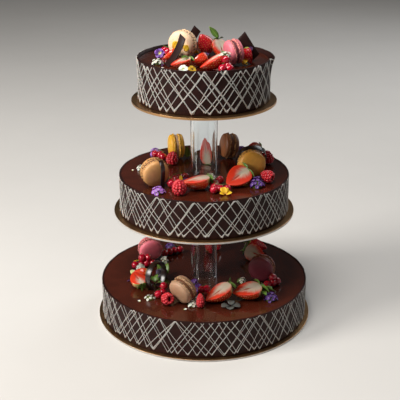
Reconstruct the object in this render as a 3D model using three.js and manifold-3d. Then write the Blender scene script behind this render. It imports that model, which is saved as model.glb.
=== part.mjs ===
// A chocolate wedding cake of three glazed tiers on clear pillars.
// Each tier stands on a thin card board, wears a chocolate collar and carries macarons, berries,
// chocolate curls and edible flowers. Millimetres, +Z up, origin under the middle of the bottom board.

import * as THREE from 'three';
import { mergeVertices } from 'three/addons/utils/BufferGeometryUtils.js';
import Module from 'manifold-3d';

const wasm = await Module();
wasm.setup();

// Tiers, boards and pillars
const TIER_RADII = { bottom: 150, middle: 120, top: 90 };
const RIM_HEIGHTS = { bottom: 1, middle: 1, top: 6 };
const COLLAR_FLARES = { bottom: 0, middle: 0, top: 1 };
const BOARD_MARGINS = { bottom: 6, middle: 8.5, top: 10 };
const CAKE_HEIGHT = 53;
const COLLAR_THICKNESS = 2;
const BOARD_THICKNESS = 3;
const PILLAR_RADIUS = 19;
const PILLAR_WALL = 3;
const PILLAR_HEIGHT = 105;
const TIER_SIDES = 48;
const PILLAR_SIDES = 20;

// Toppings
const MACARON_RADIUS = 19;
const MACARON_THICKNESS = 24;
const MACARON_SIDES = 18;
const SHELL_STEPS = 3;
const STRAWBERRY_LENGTH = 34;
const STRAWBERRY_WIDTH = 26;
const STRAWBERRY_RINGS = 7;
const STRAWBERRY_SIDES = 12;
const STRAWBERRY_SHOULDER = 0.68;
const STRAWBERRY_BLUNTNESS = 0.75;
const CALYX_SEAT = 0.42;
const CALYX_RADIUS = 11;
const CALYX_LEAVES = 5;
const LEAF_THICKNESS = 0.9;
const LEAF_LIFT = 3;
const RASPBERRY_LENGTH = 20;
const RASPBERRY_WIDTH = 17;
const RASPBERRY_TAPER = 0.16;
const DRUPELETS_ROUND = 6;
const DRUPELET_ROWS = 4;
const DRUPELET_DEPTH = 0.09;
const CURRANT_RADIUS = 5.2;
const CURRANT_SPACING = 1.8 * CURRANT_RADIUS;
const CURL_THICKNESS = 1.3;
const CURL_WIDTH = 8;
const CURL_STEPS = 7;
const FLOWER_RINGS = 4;
const FLOWER_SINK = 0.6;
const FLORET_DEPTH = 0.25;

// A macaron's outline, as shares of its radius and of half its thickness
const SHELL = { width: 0.96, edge: 0.45, fullness: 0.65 };
const FOOT = { width: 1, edge: 0.36 };
const FILLING = { width: 0.9, edge: 0.15 };

// Reach of a calyx leaf's tip, flank, notch and next flank, as shares of the calyx radius
const LEAF_REACHES = [1, 0.66, 0.36, 0.66];

// Touching pieces keep this much air between them, and closer vertices of one piece are welded.
const GAP = 0.3;
const WELD = 1e-3;

const GLAZE_HEIGHT = BOARD_THICKNESS + CAKE_HEIGHT;
const TIER_PITCH = GLAZE_HEIGHT + PILLAR_HEIGHT;

const FINISHES = {
  chocolate: { color: 0x2a1510, roughness: 0.35, metalness: 0 },
  glaze: { color: 0x4a2012, roughness: 0.12, metalness: 0 },
  board: { color: 0xb98a45, roughness: 0.3, metalness: 0.7 },
  pillar: { color: 0xdfe6ea, roughness: 0.05, metalness: 0, transparent: true, opacity: 0.35 },
  strawberry: { color: 0xcc2a1c, roughness: 0.3, metalness: 0 },
  raspberry: { color: 0xb81d2e, roughness: 0.4, metalness: 0 },
  currant: { color: 0xa3081c, roughness: 0.1, metalness: 0 },
};

function macaronFinish(color) {
  return { color, roughness: 0.6, metalness: 0 };
}

// Closed geometry to solid and back

function toSolid(geometry) {
  const bare = geometry.clone();
  bare.deleteAttribute('normal');
  bare.deleteAttribute('uv');
  const welded = mergeVertices(bare, WELD);
  return new wasm.Manifold(
    new wasm.Mesh({
      numProp: 3,
      vertProperties: welded.attributes.position.array,
      triVerts: new Uint32Array(welded.index.array),
    }),
  );
}

function toGeometry(solid) {
  const { vertProperties, triVerts } = solid.getMesh();
  const geometry = new THREE.BufferGeometry();
  geometry.setAttribute('position', new THREE.BufferAttribute(new Float32Array(vertProperties), 3));
  geometry.setIndex(new THREE.BufferAttribute(new Uint32Array(triVerts), 1));
  geometry.computeVertexNormals();
  return geometry;
}

function fuse(geometries) {
  const solids = geometries.map(toSolid);
  return toGeometry(solids.reduce((whole, piece) => whole.add(piece)));
}

// Moves each vertex of a geometry by a rule that edits it in place.
function reshape(geometry, rule) {
  const places = geometry.attributes.position;
  const vertex = new THREE.Vector3();
  for (let i = 0; i < places.count; i += 1) {
    vertex.fromBufferAttribute(places, i);
    rule(vertex);
    places.setXYZ(i, vertex.x, vertex.y, vertex.z);
  }
  return geometry;
}

// Tier pieces, wider at the top by their flare

function disc(radius, low, high, flare = 0) {
  const geometry = new THREE.CylinderGeometry(radius + flare, radius, high - low, TIER_SIDES);
  return geometry.rotateX(Math.PI / 2).translate(0, 0, (low + high) / 2);
}

function tube(outer, inner, low, high, sides, flare = 0) {
  const profile = [
    [inner, low],
    [outer, low],
    [outer + flare, high],
    [inner + flare, high],
    [inner, low],
  ].map(([radius, level]) => new THREE.Vector2(radius, level));
  return new THREE.LatheGeometry(profile, sides).rotateX(Math.PI / 2);
}

// A low dome with one lobe for each floret, sunk a little into the glaze.
function flower({ x, y, radius, height, florets }) {
  const dome = new THREE.SphereGeometry(1, 2 * florets, FLOWER_RINGS).rotateX(Math.PI / 2);
  reshape(dome, (vertex) => {
    const reach = Math.hypot(vertex.x, vertex.y);
    const lobe = 1 + FLORET_DEPTH * Math.cos(florets * Math.atan2(vertex.y, vertex.x)) * reach;
    vertex.set(vertex.x * lobe * radius, vertex.y * lobe * radius, (vertex.z * height) / 2);
  });
  return dome.translate(x, y, GLAZE_HEIGHT + height / 2 - FLOWER_SINK);
}

// Toppings, each round its own middle with its shown face towards -Y and its top towards +Z

function macaron(size = 1) {
  const shell = [];
  for (let i = 0; i <= SHELL_STEPS; i += 1) {
    const angle = (i / SHELL_STEPS) * (Math.PI / 2);
    const reach = Math.sin(angle) ** SHELL.fullness;
    const rise = Math.max(0, Math.cos(angle)) ** SHELL.fullness;
    shell.push([SHELL.width * reach, SHELL.edge + (1 - SHELL.edge) * rise]);
  }
  shell.push([FOOT.width, FOOT.edge], [FILLING.width, FILLING.edge]);
  const upper = shell.toReversed();
  const lower = shell.map(([reach, level]) => [reach, -level]);
  const profile = [...lower, ...upper].map(
    ([reach, level]) => new THREE.Vector2(reach * MACARON_RADIUS, (level * MACARON_THICKNESS) / 2),
  );
  return new THREE.LatheGeometry(profile, MACARON_SIDES).scale(size, size, size);
}

// A star of pointed leaves; their tips rise by lift.
function calyx(lift) {
  const corners = CALYX_LEAVES * LEAF_REACHES.length;
  const star = new THREE.Shape();
  for (let i = 0; i < corners; i += 1) {
    const angle = (2 * Math.PI * i) / corners;
    const radius = CALYX_RADIUS * LEAF_REACHES[i % LEAF_REACHES.length];
    const move = i === 0 ? 'moveTo' : 'lineTo';
    star[move](radius * Math.cos(angle), radius * Math.sin(angle));
  }
  const geometry = new THREE.ExtrudeGeometry(star, { depth: LEAF_THICKNESS, bevelEnabled: false });
  return reshape(geometry, (vertex) => {
    const share = Math.hypot(vertex.x, vertex.y) / CALYX_RADIUS;
    vertex.z += lift * share * share;
  });
}

// A strawberry with its crown up: whole, or cut in half through the crown with the cut face towards -Y.
function strawberry({ size = 1, whole = false, leafy = true, lift = LEAF_LIFT } = {}) {
  const profile = [];
  for (let i = 0; i <= STRAWBERRY_RINGS; i += 1) {
    const along = i / STRAWBERRY_RINGS;
    const past = (along - STRAWBERRY_SHOULDER) / (1 - STRAWBERRY_SHOULDER);
    const fullness =
      past < 0
        ? Math.sin(((along / STRAWBERRY_SHOULDER) * Math.PI) / 2) ** STRAWBERRY_BLUNTNESS
        : Math.sqrt(Math.max(0, 1 - past * past));
    profile.push(new THREE.Vector2((fullness * STRAWBERRY_WIDTH) / 2, (along - 0.5) * STRAWBERRY_LENGTH));
  }
  const body = new THREE.LatheGeometry(profile, STRAWBERRY_SIDES).rotateX(Math.PI / 2);
  const crown = calyx(lift).translate(0, 0, CALYX_SEAT * STRAWBERRY_LENGTH);
  let solid = toSolid(body);
  if (leafy) {
    solid = solid.add(toSolid(crown));
  }
  if (!whole) {
    const side = 2 * (STRAWBERRY_LENGTH + CALYX_RADIUS);
    const half = new THREE.BoxGeometry(side, side, side).translate(0, side / 2, 0);
    solid = solid.intersect(toSolid(half));
  }
  return toGeometry(solid).scale(size, size, size);
}

function raspberry(size = 1, breadth = 1) {
  const geometry = new THREE.SphereGeometry(1, 2 * DRUPELETS_ROUND, 2 * DRUPELET_ROWS);
  reshape(geometry, (vertex) => {
    const polar = Math.acos(THREE.MathUtils.clamp(vertex.y, -1, 1));
    const round = Math.atan2(vertex.z, vertex.x);
    const bump = Math.cos(DRUPELETS_ROUND * round) * Math.cos(2 * DRUPELET_ROWS * polar) * Math.sin(polar);
    vertex.multiplyScalar(1 + DRUPELET_DEPTH * bump);
    const taper = 1 - RASPBERRY_TAPER * vertex.y;
    vertex.set(
      (vertex.x * taper * RASPBERRY_WIDTH) / 2,
      (vertex.y * RASPBERRY_LENGTH) / 2,
      (vertex.z * taper * RASPBERRY_WIDTH) / 2,
    );
  });
  return geometry.rotateX(Math.PI / 2).scale(size * breadth, size, size);
}

// Currants along one or more routes that start or cross at a shared berry; each berry meets the next,
// so that the sprig is one piece.
function currants(routes) {
  const berries = routes.flatMap((points) => {
    const route = new THREE.CatmullRomCurve3(points.map((point) => new THREE.Vector3(...point)));
    const steps = Math.ceil(route.getLength() / CURRANT_SPACING);
    return route.getSpacedPoints(steps).map((place) => {
      const berry = new THREE.OctahedronGeometry(CURRANT_RADIUS, 1);
      return berry.translate(place.x, place.y, place.z);
    });
  });
  return fuse(berries);
}

// A chocolate band bent to an arc in the XZ plane, open below, with its width along Y.
// A tail runs on straight from its +X end.
function curl({ radius, sweep, width = CURL_WIDTH, tail = 0 }) {
  const half = THREE.MathUtils.degToRad(sweep) / 2;
  const start = Math.PI / 2 - half;
  const end = Math.PI / 2 + half;
  const inner = radius - CURL_THICKNESS;
  const along = [tail * Math.sin(start), -tail * Math.cos(start)];
  const section = new THREE.Shape();
  section.absarc(0, 0, radius, start, end, false);
  section.absarc(0, 0, inner, end, start, true);
  if (tail > 0) {
    section.lineTo(inner * Math.cos(start) + along[0], inner * Math.sin(start) + along[1]);
    section.lineTo(radius * Math.cos(start) + along[0], radius * Math.sin(start) + along[1]);
  }
  const geometry = new THREE.ExtrudeGeometry(section, {
    depth: width,
    bevelEnabled: false,
    curveSegments: CURL_STEPS,
  });
  return geometry.rotateX(Math.PI / 2).center();
}

// Assembly

function mesh(name, geometry, finish) {
  const piece = new THREE.Mesh(geometry, new THREE.MeshStandardMaterial(finish));
  piece.name = name;
  return piece;
}

// Spins a topping in its own face, leans that face up, turns it sideways and rests it on the glaze at x, y.
// Angles are in degrees.
function topping(name, geometry, finish, { x, y, turn = 0, lean = 0, spin = 0 }) {
  const piece = mesh(name, geometry, finish);
  const { degToRad } = THREE.MathUtils;
  piece.rotation.set(-degToRad(lean), degToRad(spin), degToRad(turn), 'ZXY');
  const lowest = new THREE.Box3().setFromObject(piece, true).min.z;
  piece.position.set(x, y, GLAZE_HEIGHT + GAP - lowest);
  return piece;
}

function currantSprig(name, ...routes) {
  const piece = mesh(name, currants(routes), FINISHES.currant);
  piece.position.z = GLAZE_HEIGHT + GAP + CURRANT_RADIUS;
  return piece;
}

const FLOWERS = {
  top: [
    { x: -60, y: 12, radius: 7, height: 8, florets: 5 },
    { x: -62, y: -25, radius: 6, height: 5, florets: 4 },
    { x: -20, y: -70, radius: 9, height: 5, florets: 5 },
  ],
  middle: [
    { x: -61, y: -84, radius: 9, height: 9, florets: 6 },
    { x: 72, y: -62, radius: 9, height: 13, florets: 6 },
    { x: -72, y: 77, radius: 7, height: 9, florets: 5 },
    { x: 56, y: 88, radius: 9, height: 9, florets: 6 },
    { x: 29, y: -93, radius: 6, height: 4, florets: 3 },
  ],
  bottom: [
    { x: 93, y: -81, radius: 10, height: 10, florets: 6 },
    { x: -13, y: -44, radius: 8, height: 12, florets: 5 },
    { x: -94, y: 11.5, radius: 6, height: 8, florets: 5 },
    { x: 40, y: -106, radius: 10, height: 4, florets: 4 },
    { x: -76, y: -80, radius: 6, height: 5, florets: 4 },
  ],
};

const TOPPINGS = {
  top: [
    topping('top_macaron_cream', macaron(), macaronFinish(0xe9cfae), { x: -29, y: 10, turn: -26, lean: 4 }),
    topping('top_macaron_pink', macaron(0.87), macaronFinish(0xd9697c), {
      x: 39, y: -30, turn: -66, lean: -8,
    }),
    topping(
      'top_strawberry_whole',
      strawberry({ size: 0.92, whole: true, leafy: false }),
      FINISHES.strawberry,
      { x: 2, y: 34, turn: 10, lean: -15, spin: 150 },
    ),
    topping('top_strawberry_leafy', strawberry({ size: 0.95, lift: 9 }), FINISHES.strawberry, {
      x: 24, y: 10, turn: 41, lean: 39, spin: 12,
    }),
    topping('top_strawberry_left', strawberry({ size: 0.85 }), FINISHES.strawberry, {
      x: -31, y: -51, turn: -73, lean: 75, spin: -11,
    }),
    topping('top_strawberry_middle', strawberry({ size: 0.75, leafy: false }), FINISHES.strawberry, {
      x: -7, y: -39, turn: 228, lean: 20, spin: -85,
    }),
    topping('top_strawberry_front', strawberry({ size: 1.08 }), FINISHES.strawberry, {
      x: 9, y: -57, turn: -92, lean: 61, spin: -28,
    }),
    topping('top_strawberry_slice', strawberry({ size: 0.7, leafy: false }), FINISHES.strawberry, {
      x: -46, y: -8, turn: -136, lean: 29, spin: -69,
    }),
    topping('top_strawberry_right', strawberry({ size: 0.7, leafy: false }), FINISHES.strawberry, {
      x: 60, y: -24, turn: 120, lean: 10, spin: 15,
    }),
    topping('top_curl_left', curl({ radius: 62, sweep: 46, width: 12 }), FINISHES.chocolate, {
      x: -38, y: -25, turn: 50, spin: 135,
    }),
    topping('top_plaque_right', curl({ radius: 110, sweep: 19, width: 13 }), FINISHES.chocolate, {
      x: 60, y: -8, turn: 84, lean: 34, spin: -90,
    }),
    topping('top_plaque_back', curl({ radius: 110, sweep: 18, width: 12 }), FINISHES.chocolate, {
      x: -18, y: 48, turn: 88, lean: -32, spin: -90,
    }),
    currantSprig('top_currants_left', [[-55, 34, 0], [-50, 26.5, 0]]),
    currantSprig(
      'top_currants_right',
      [[33, -72, 0], [24, -73, 0]],
      [[24, -73, 0], [30, -68, 1.5], [28, -66, 10]],
    ),
  ],
  middle: [
    topping('middle_macaron_tan', macaron(), macaronFinish(0xcf9a62), {
      x: -67, y: -57, turn: 22, lean: -8,
    }),
    topping('middle_macaron_yellow', macaron(0.95), macaronFinish(0xe0b040), { x: -41, y: 59, turn: -78 }),
    topping('middle_macaron_brown', macaron(0.97), macaronFinish(0x9b6a42), {
      x: 37, y: 59, turn: -72, lean: 9,
    }),
    topping('middle_macaron_mustard', macaron(), macaronFinish(0xb98a30), {
      x: 66, y: -23, turn: 8, lean: 8,
    }),
    topping('middle_strawberry_front', strawberry({ size: 1.18 }), FINISHES.strawberry, {
      x: -12, y: -71, turn: -111, lean: 81, spin: -36,
    }),
    topping('middle_strawberry_right', strawberry({ size: 1.2 }), FINISHES.strawberry, {
      x: 45.5, y: -59, turn: 7, lean: 55, spin: 53,
    }),
    topping('middle_strawberry_back', strawberry(), FINISHES.strawberry, {
      x: 4, y: 52, lean: 10, spin: 170,
    }),
    topping('middle_strawberry_back_right', strawberry({ size: 0.9 }), FINISHES.strawberry, {
      x: 72, y: 60, turn: 20, lean: 30, spin: 75,
    }),
    topping('middle_raspberry_front', raspberry(1.12), FINISHES.raspberry, {
      x: -33, y: -91, turn: -20, lean: -15,
    }),
    topping('middle_raspberry_right', raspberry(), FINISHES.raspberry, {
      x: 87, y: -45, lean: 80, turn: 60,
    }),
    topping('middle_raspberry_far', raspberry(), FINISHES.raspberry, { x: 92, y: 32, lean: 20, turn: 30 }),
    topping('middle_raspberry_left', raspberry(), FINISHES.raspberry, {
      x: -46, y: 30, turn: -30, lean: 15,
    }),
    currantSprig('middle_currants_back', [[-72, 63, 0], [-64, 58.5, 0], [-60, 50.5, 0]]),
    currantSprig('middle_currants_left', [[-44, -63, 0], [-42, -50, 0], [-36, -41, 0], [-26, -35, 0]]),
    currantSprig(
      'middle_currants_front',
      [[22.5, -47.5, 0], [19, -55, 0], [11.5, -60.5, 0]],
      [[11.5, -60.5, 0], [16, -68.5, 0], [14, -77.5, 0], [13, -86.5, 0]],
      [[14, -77.5, 0], [22, -82, 0], [31, -82, 0]],
    ),
    topping('middle_curl_left', curl({ radius: 12, sweep: 100, width: 6, tail: 26 }), FINISHES.chocolate, {
      x: -57, y: -69, turn: -68, spin: 50,
    }),
    topping('middle_curl_right', curl({ radius: 22, sweep: 280 }), FINISHES.chocolate, {
      x: 67, y: 13, turn: 8, lean: -30,
    }),
  ],
  bottom: [
    topping('bottom_macaron_pink', macaron(0.95), macaronFinish(0xb8485c), {
      x: -82, y: 49, turn: 15, lean: -10,
    }),
    topping('bottom_macaron_beige', macaron(), macaronFinish(0xb98f6e), {
      x: -29, y: -90, turn: -44, lean: -20,
    }),
    topping('bottom_macaron_wine', macaron(), macaronFinish(0x5c2230), {
      x: 84, y: -20, turn: -20, lean: 2,
    }),
    topping('bottom_strawberry_left', strawberry({ size: 0.95 }), FINISHES.strawberry, {
      x: -95, y: -39.5, turn: 10, lean: 81, spin: 163,
    }),
    topping('bottom_strawberry_slice', strawberry({ size: 0.8, leafy: false }), FINISHES.strawberry, {
      x: -90, y: -12, turn: 170, lean: 35, spin: -80,
    }),
    topping('bottom_strawberry_front', strawberry({ size: 1.25 }), FINISHES.strawberry, {
      x: 19, y: -86, turn: -70, lean: 66, spin: -11,
    }),
    topping('bottom_strawberry_right', strawberry({ size: 1.25, lift: 6 }), FINISHES.strawberry, {
      x: 60, y: -80, turn: -24, lean: 80, spin: 46,
    }),
    topping('bottom_strawberry_back_right', strawberry(), FINISHES.strawberry, {
      x: 78, y: 46, turn: -10, lean: 20, spin: -70,
    }),
    topping('bottom_strawberry_back', strawberry({ size: 0.95 }), FINISHES.strawberry, {
      x: 84, y: 84, turn: 160, lean: 30, spin: 60,
    }),
    topping('bottom_strawberry_far', strawberry({ whole: true }), FINISHES.strawberry, {
      x: 16, y: 90, turn: 40, lean: 70, spin: 10,
    }),
    topping('bottom_raspberry_left', raspberry(), FINISHES.raspberry, {
      x: -51, y: -96, turn: -147, lean: 72, spin: -180,
    }),
    topping('bottom_raspberry_front', raspberry(1, 0.65), FINISHES.raspberry, {
      x: -5, y: -103, turn: 5, lean: 12,
    }),
    currantSprig(
      'bottom_currants_back',
      [[-103, 20, 0], [-95, 24.5, 0], [-86, 26, 0], [-77, 27, 0]],
      [[-95, 24.5, 0], [-93, 27, 8.5]],
      [[-86, 26, 0], [-83.5, 28, 8.5]],
    ),
    currantSprig('bottom_currants_left', [[-64, -76, 0], [-58, -69.5, 0], [-56.5, -66.5, 8.6]]),
    currantSprig('bottom_currants_front', [[5, -77, 0], [4, -72, 6.6], [-3.5, -69, 4]]),
    currantSprig(
      'bottom_currants_right',
      [[91, -45, 0], [99, -41, 0], [105.5, -34.5, 0]],
      [[99, -41, 0], [98.5, -39.5, 8.8]],
    ),
    currantSprig('bottom_currants_far', [[-60, 62, 0], [-53, 68, 0], [-45.5, 73.5, 0], [-37, 77, 0]]),
    topping('bottom_curl_left', curl({ radius: 21, sweep: 296, width: 9 }), FINISHES.chocolate, {
      x: -69, y: -40, turn: 58,
    }),
  ],
};

function tier(name) {
  const radius = TIER_RADII[name];
  const cakeRadius = radius - COLLAR_THICKNESS - GAP;
  const seat = BOARD_THICKNESS + GAP;
  const blooms = FLOWERS[name].map(flower);
  const rim = GLAZE_HEIGHT + RIM_HEIGHTS[name];
  const flare = COLLAR_FLARES[name];
  const flareAtGlaze = (flare * (GLAZE_HEIGHT - seat)) / (rim - seat);
  const cake = fuse([disc(cakeRadius, seat, GLAZE_HEIGHT, flareAtGlaze), ...blooms]);
  const collar = tube(radius, radius - COLLAR_THICKNESS, seat, rim, TIER_SIDES, flare);
  const board = disc(radius + BOARD_MARGINS[name], 0, BOARD_THICKNESS);
  const group = new THREE.Group();
  group.add(
    mesh(`${name}_cake`, cake, FINISHES.glaze),
    mesh(`${name}_collar`, collar, FINISHES.chocolate),
    mesh(`${name}_board`, board, FINISHES.board),
    ...TOPPINGS[name],
  );
  return group;
}

function pillar(name) {
  const low = GLAZE_HEIGHT + GAP;
  const high = TIER_PITCH - GAP;
  const geometry = tube(PILLAR_RADIUS, PILLAR_RADIUS - PILLAR_WALL, low, high, PILLAR_SIDES);
  return mesh(`${name}_pillar`, geometry, FINISHES.pillar);
}

const cake = new THREE.Group();
['bottom', 'middle', 'top'].forEach((name, level) => {
  const storey = tier(name);
  storey.position.z = level * TIER_PITCH;
  if (name !== 'top') {
    storey.add(pillar(name));
  }
  cake.add(storey);
});

export default cake;
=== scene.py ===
"""A chocolate wedding cake of three glazed tiers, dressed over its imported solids.

Lengths are in metres, +Z is up and the shown front of the cake faces -Y. Places of toppings are in
millimetres from the cake's axis.
"""

import math
import random
from collections import namedtuple

import bmesh
import bpy
import numpy as np
from bpy.props import FloatProperty, FloatVectorProperty, PointerProperty
from mathutils import Matrix, Vector, noise


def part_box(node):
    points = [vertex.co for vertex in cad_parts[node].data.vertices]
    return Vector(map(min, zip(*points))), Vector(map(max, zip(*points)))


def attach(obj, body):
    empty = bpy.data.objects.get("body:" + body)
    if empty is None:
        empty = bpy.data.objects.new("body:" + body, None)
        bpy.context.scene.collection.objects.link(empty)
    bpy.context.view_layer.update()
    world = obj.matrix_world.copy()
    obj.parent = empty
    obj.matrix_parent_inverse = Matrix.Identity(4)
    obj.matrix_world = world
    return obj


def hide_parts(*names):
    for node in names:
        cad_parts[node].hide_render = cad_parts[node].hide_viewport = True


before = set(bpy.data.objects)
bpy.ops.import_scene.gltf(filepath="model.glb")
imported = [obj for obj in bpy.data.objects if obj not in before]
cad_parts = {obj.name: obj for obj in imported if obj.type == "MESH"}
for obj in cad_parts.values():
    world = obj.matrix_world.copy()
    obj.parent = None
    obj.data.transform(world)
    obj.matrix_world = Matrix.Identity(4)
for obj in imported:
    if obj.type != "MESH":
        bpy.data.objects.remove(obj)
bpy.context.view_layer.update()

bl_info = {
    "name": "Chocolate Wedding Cake",
    "version": (1, 0, 0),
    "blender": (4, 5, 0),
    "location": "View3D > Sidebar > Cake",
    "description": "Dresses the solids of a tiered chocolate cake with glaze, piping, fruit and flowers",
    "category": "Add Mesh",
}

MM = 0.001
WELD = 1e-6
GAP = 0.0003
TAU = 2 * math.pi
GOLDEN_ANGLE = math.pi * (3 - math.sqrt(5))

# Sizes that the scene shares with the solids
CAKE_HEIGHT = 0.053
COLLAR_THICKNESS = 0.002
COLLAR_FLARES = {"bottom": 0.0, "middle": 0.0, "top": 0.001}
PILLAR_WALL = 0.003
MACARON_RADIUS = 0.019
MACARON_THICKNESS = 0.024
STRAWBERRY_LENGTH = 0.034
STRAWBERRY_WIDTH = 0.026
STRAWBERRY_SHOULDER = 0.68
STRAWBERRY_BLUNTNESS = 0.75
RASPBERRY_LENGTH = 0.020
RASPBERRY_WIDTH = 0.017
RASPBERRY_TAPER = 0.16
CURRANT_RADIUS = 0.0052
CURRANT_SPACING = 1.8 * CURRANT_RADIUS
CURL_THICKNESS = 0.0013

Tier = namedtuple("Tier", "name radius flare board_radius floor board_top seat glaze rim")


def tier_from_frame(name):
    """Sizes of one tier, read from its board and collar."""
    collar_low, collar_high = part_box(f"{name}_collar")
    board_low, board_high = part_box(f"{name}_board")
    return Tier(
        name=name,
        radius=collar_high.x - COLLAR_FLARES[name],
        flare=COLLAR_FLARES[name],
        board_radius=board_high.x,
        floor=board_low.z,
        board_top=board_high.z,
        seat=collar_low.z,
        glaze=board_high.z + CAKE_HEIGHT,
        rim=collar_high.z,
    )


TIERS = {name: tier_from_frame(name) for name in ("bottom", "middle", "top")}


# Settings


def srgb(code):
    """Scene-linear colour of a six-digit hex code."""
    shares = [(code >> shift & 255) / 255 for shift in (16, 8, 0)]
    return tuple(s / 12.92 if s <= 0.04045 else ((s + 0.055) / 1.055) ** 2.4 for s in shares)


def colour(name, description, code):
    """A colour setting with its default as a hex code."""
    return FloatVectorProperty(
        name=name, description=description, subtype="COLOR", size=3, min=0, max=1, default=srgb(code)
    )


def length(name, description, default):
    """A length setting in metres."""
    return FloatProperty(name=name, description=description, default=default, min=0, unit="LENGTH")


class CakeSizes(bpy.types.PropertyGroup):
    """Sizes of the fine work that the solids leave out."""

    line_width: length("Line width", "Width of a piped line", 0.0013)
    line_height: length("Line height", "How far a piped line stands off the collar", 0.0005)
    glaze_wave: length("Glaze wave", "Unevenness of the poured glaze", 0.00012)
    meniscus: length("Meniscus", "How far the glaze climbs the collar", 0.0006)
    seed_spacing: length("Seed spacing", "Distance between a strawberry's seeds", 0.0037)
    seed_dent: length("Seed dent", "Depth of the dent round each seed", 0.0004)
    foot_ruffle: length("Foot ruffle", "Depth of the ruffles on a macaron's foot", 0.0014)
    leaf_thickness: length("Leaf thickness", "Thickness of leaves", 0.0005)
    petal_thickness: length("Petal thickness", "Thickness of petals", 0.00035)
    stalk_width: length("Stalk width", "Width of a currant's stalk", 0.0007)


class CakeColours(bpy.types.PropertyGroup):
    """Colours of the cake and its toppings."""

    glaze: colour("Glaze", "Mirror glaze on the tiers", 0x3F190E)
    chocolate: colour("Chocolate", "Collars, curls and plaques", 0x200B08)
    piping: colour("Piping", "White chocolate lines", 0xACA8A2)
    gold: colour("Gold", "Foil on the boards", 0xB28A60)
    board_edge: colour("Board edge", "Wrapped edge of the boards", 0xC4C0BA)
    acrylic: colour("Acrylic", "Clear pillars", 0xF4F8FA)
    strawberry: colour("Strawberry", "Skin of the cut strawberries", 0xDA361C)
    crimson: colour("Crimson", "Skin of the ripest strawberries", 0xC81428)
    flesh: colour("Flesh", "Cut strawberry, near the skin", 0xD63E2A)
    heart: colour("Heart", "Cut strawberry, round its core", 0xD0C0AC)
    seed: colour("Seed", "Strawberry seeds", 0xE2A04A)
    leaf: colour("Leaf", "Leaves and calyxes", 0x5C7C30)
    raspberry: colour("Raspberry", "Raspberries", 0xC0222E)
    currant: colour("Currant", "Red currants", 0xAC0826)
    stalk: colour("Stalk", "Currant stalks", 0x5E6A2C)
    lilac: colour("Lilac", "Pale purple florets", 0x9A62B8)
    violet: colour("Violet", "Dark purple florets", 0x54297E)
    white: colour("White petals", "White florets", 0xE2E0D6)
    yellow: colour("Yellow petals", "Loose yellow petals", 0xE2B21C)
    # Pale petals painted grey as the shade they lie in
    grey: colour("Grey petals", "Pale petals in the shade", 0x50524E)
    floor: colour("Floor", "Studio floor", 0xCFCCC8)


class MacaronColours(bpy.types.PropertyGroup):
    """One colour for each macaron."""

    cream: colour("Cream", "Cream macaron", 0xF0CEAA)
    pink: colour("Pink", "Pink macaron", 0xE07684)
    tan: colour("Tan", "Tan macaron", 0xCA945C)
    yellow: colour("Yellow", "Yellow macaron", 0xE6AE2E)
    brown: colour("Brown", "Brown macaron", 0x84502E)
    mustard: colour("Mustard", "Mustard macaron", 0xDA9C3C)
    rose: colour("Rose", "Rose macaron", 0xF27E90)
    beige: colour("Beige", "Beige macaron", 0xB68E70)
    wine: colour("Wine", "Wine macaron", 0x762C3A)


class CakeSettings(bpy.types.PropertyGroup):
    """All settings of the cake."""

    sizes: PointerProperty(type=CakeSizes)
    colours: PointerProperty(type=CakeColours)
    macarons: PointerProperty(type=MacaronColours)


def settings():
    """The settings of the open scene."""
    return bpy.context.scene.wedding_cake


# Forms

UV_MAP = "UVMap"
NOISE_SHIFTS = (7.31, 3.17, 5.53)
FILLET_STEPS = 4
BLADE_GRID = (9, 5)
BLADE_THINNING = 0.85


class Form:
    """Gathers the points and faces of one piece before they become a mesh."""

    def __init__(self):
        self.points = []
        self.uvs = []
        self.faces = []
        self.finishes = []
        self.count = 0

    def sheet(self, points, uvs=None, finish=0, place=None):
        """Adds a grid of points, row by row, with even UVs where none are given, and returns the form."""
        rows, columns = points.shape[:2]
        if uvs is None:
            uvs = row_uvs(np.linspace(0, 1, rows), columns)
        flat = points.reshape(-1, 3)
        if place is not None:
            turn = np.array(place)
            flat = flat @ turn[:3, :3].T + turn[:3, 3]
        corner = np.arange((rows - 1) * columns).reshape(rows - 1, columns)[:, :-1].ravel() + self.count
        quads = np.stack([corner, corner + 1, corner + columns + 1, corner + columns], axis=1)
        self.points.append(flat)
        self.uvs.append(uvs.reshape(-1, 2))
        self.faces.append(quads)
        self.finishes.append(np.full(len(quads), finish))
        self.count += len(flat)
        return self

    def all_points(self):
        """Every point so far, as rows."""
        return np.concatenate(self.points)

    def mesh(self, *finishes, place=None):
        """Welds the sheets into one smooth mesh with its faces outwards."""
        made = bpy.data.meshes.new("form")
        faces = np.concatenate(self.faces)
        made.from_pydata(self.all_points().tolist(), [], faces.tolist())
        layer = made.uv_layers.new(name=UV_MAP)
        layer.data.foreach_set("uv", np.concatenate(self.uvs)[faces.ravel()].astype(np.float32).ravel())
        made.polygons.foreach_set("material_index", np.concatenate(self.finishes).astype(np.int32))
        for finish in finishes:
            made.materials.append(finish)
        if place is not None:
            made.transform(place)
        work = bmesh.new()
        work.from_mesh(made)
        bmesh.ops.remove_doubles(work, verts=work.verts, dist=WELD)
        bmesh.ops.dissolve_degenerate(work, edges=work.edges, dist=WELD)
        bmesh.ops.recalc_face_normals(work, faces=work.faces)
        work.to_mesh(made)
        work.free()
        made.shade_smooth()
        return made


def row_uvs(along, columns):
    """UVs of a grid with even columns, whose rows lie at given shares of its length."""
    return np.stack(np.meshgrid(np.linspace(0, 1, columns), along), axis=-1)


def revolve(outline, sides):
    """Grid of points made by turning an outline of (radius, height) pairs about Z."""
    outline = np.asarray(outline, float)
    angles = np.linspace(0, TAU, sides + 1)
    x = outline[:, :1] * np.cos(angles)
    y = outline[:, :1] * np.sin(angles)
    z = np.repeat(outline[:, 1:], sides + 1, axis=1)
    return np.stack([x, y, z], axis=-1)


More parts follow.
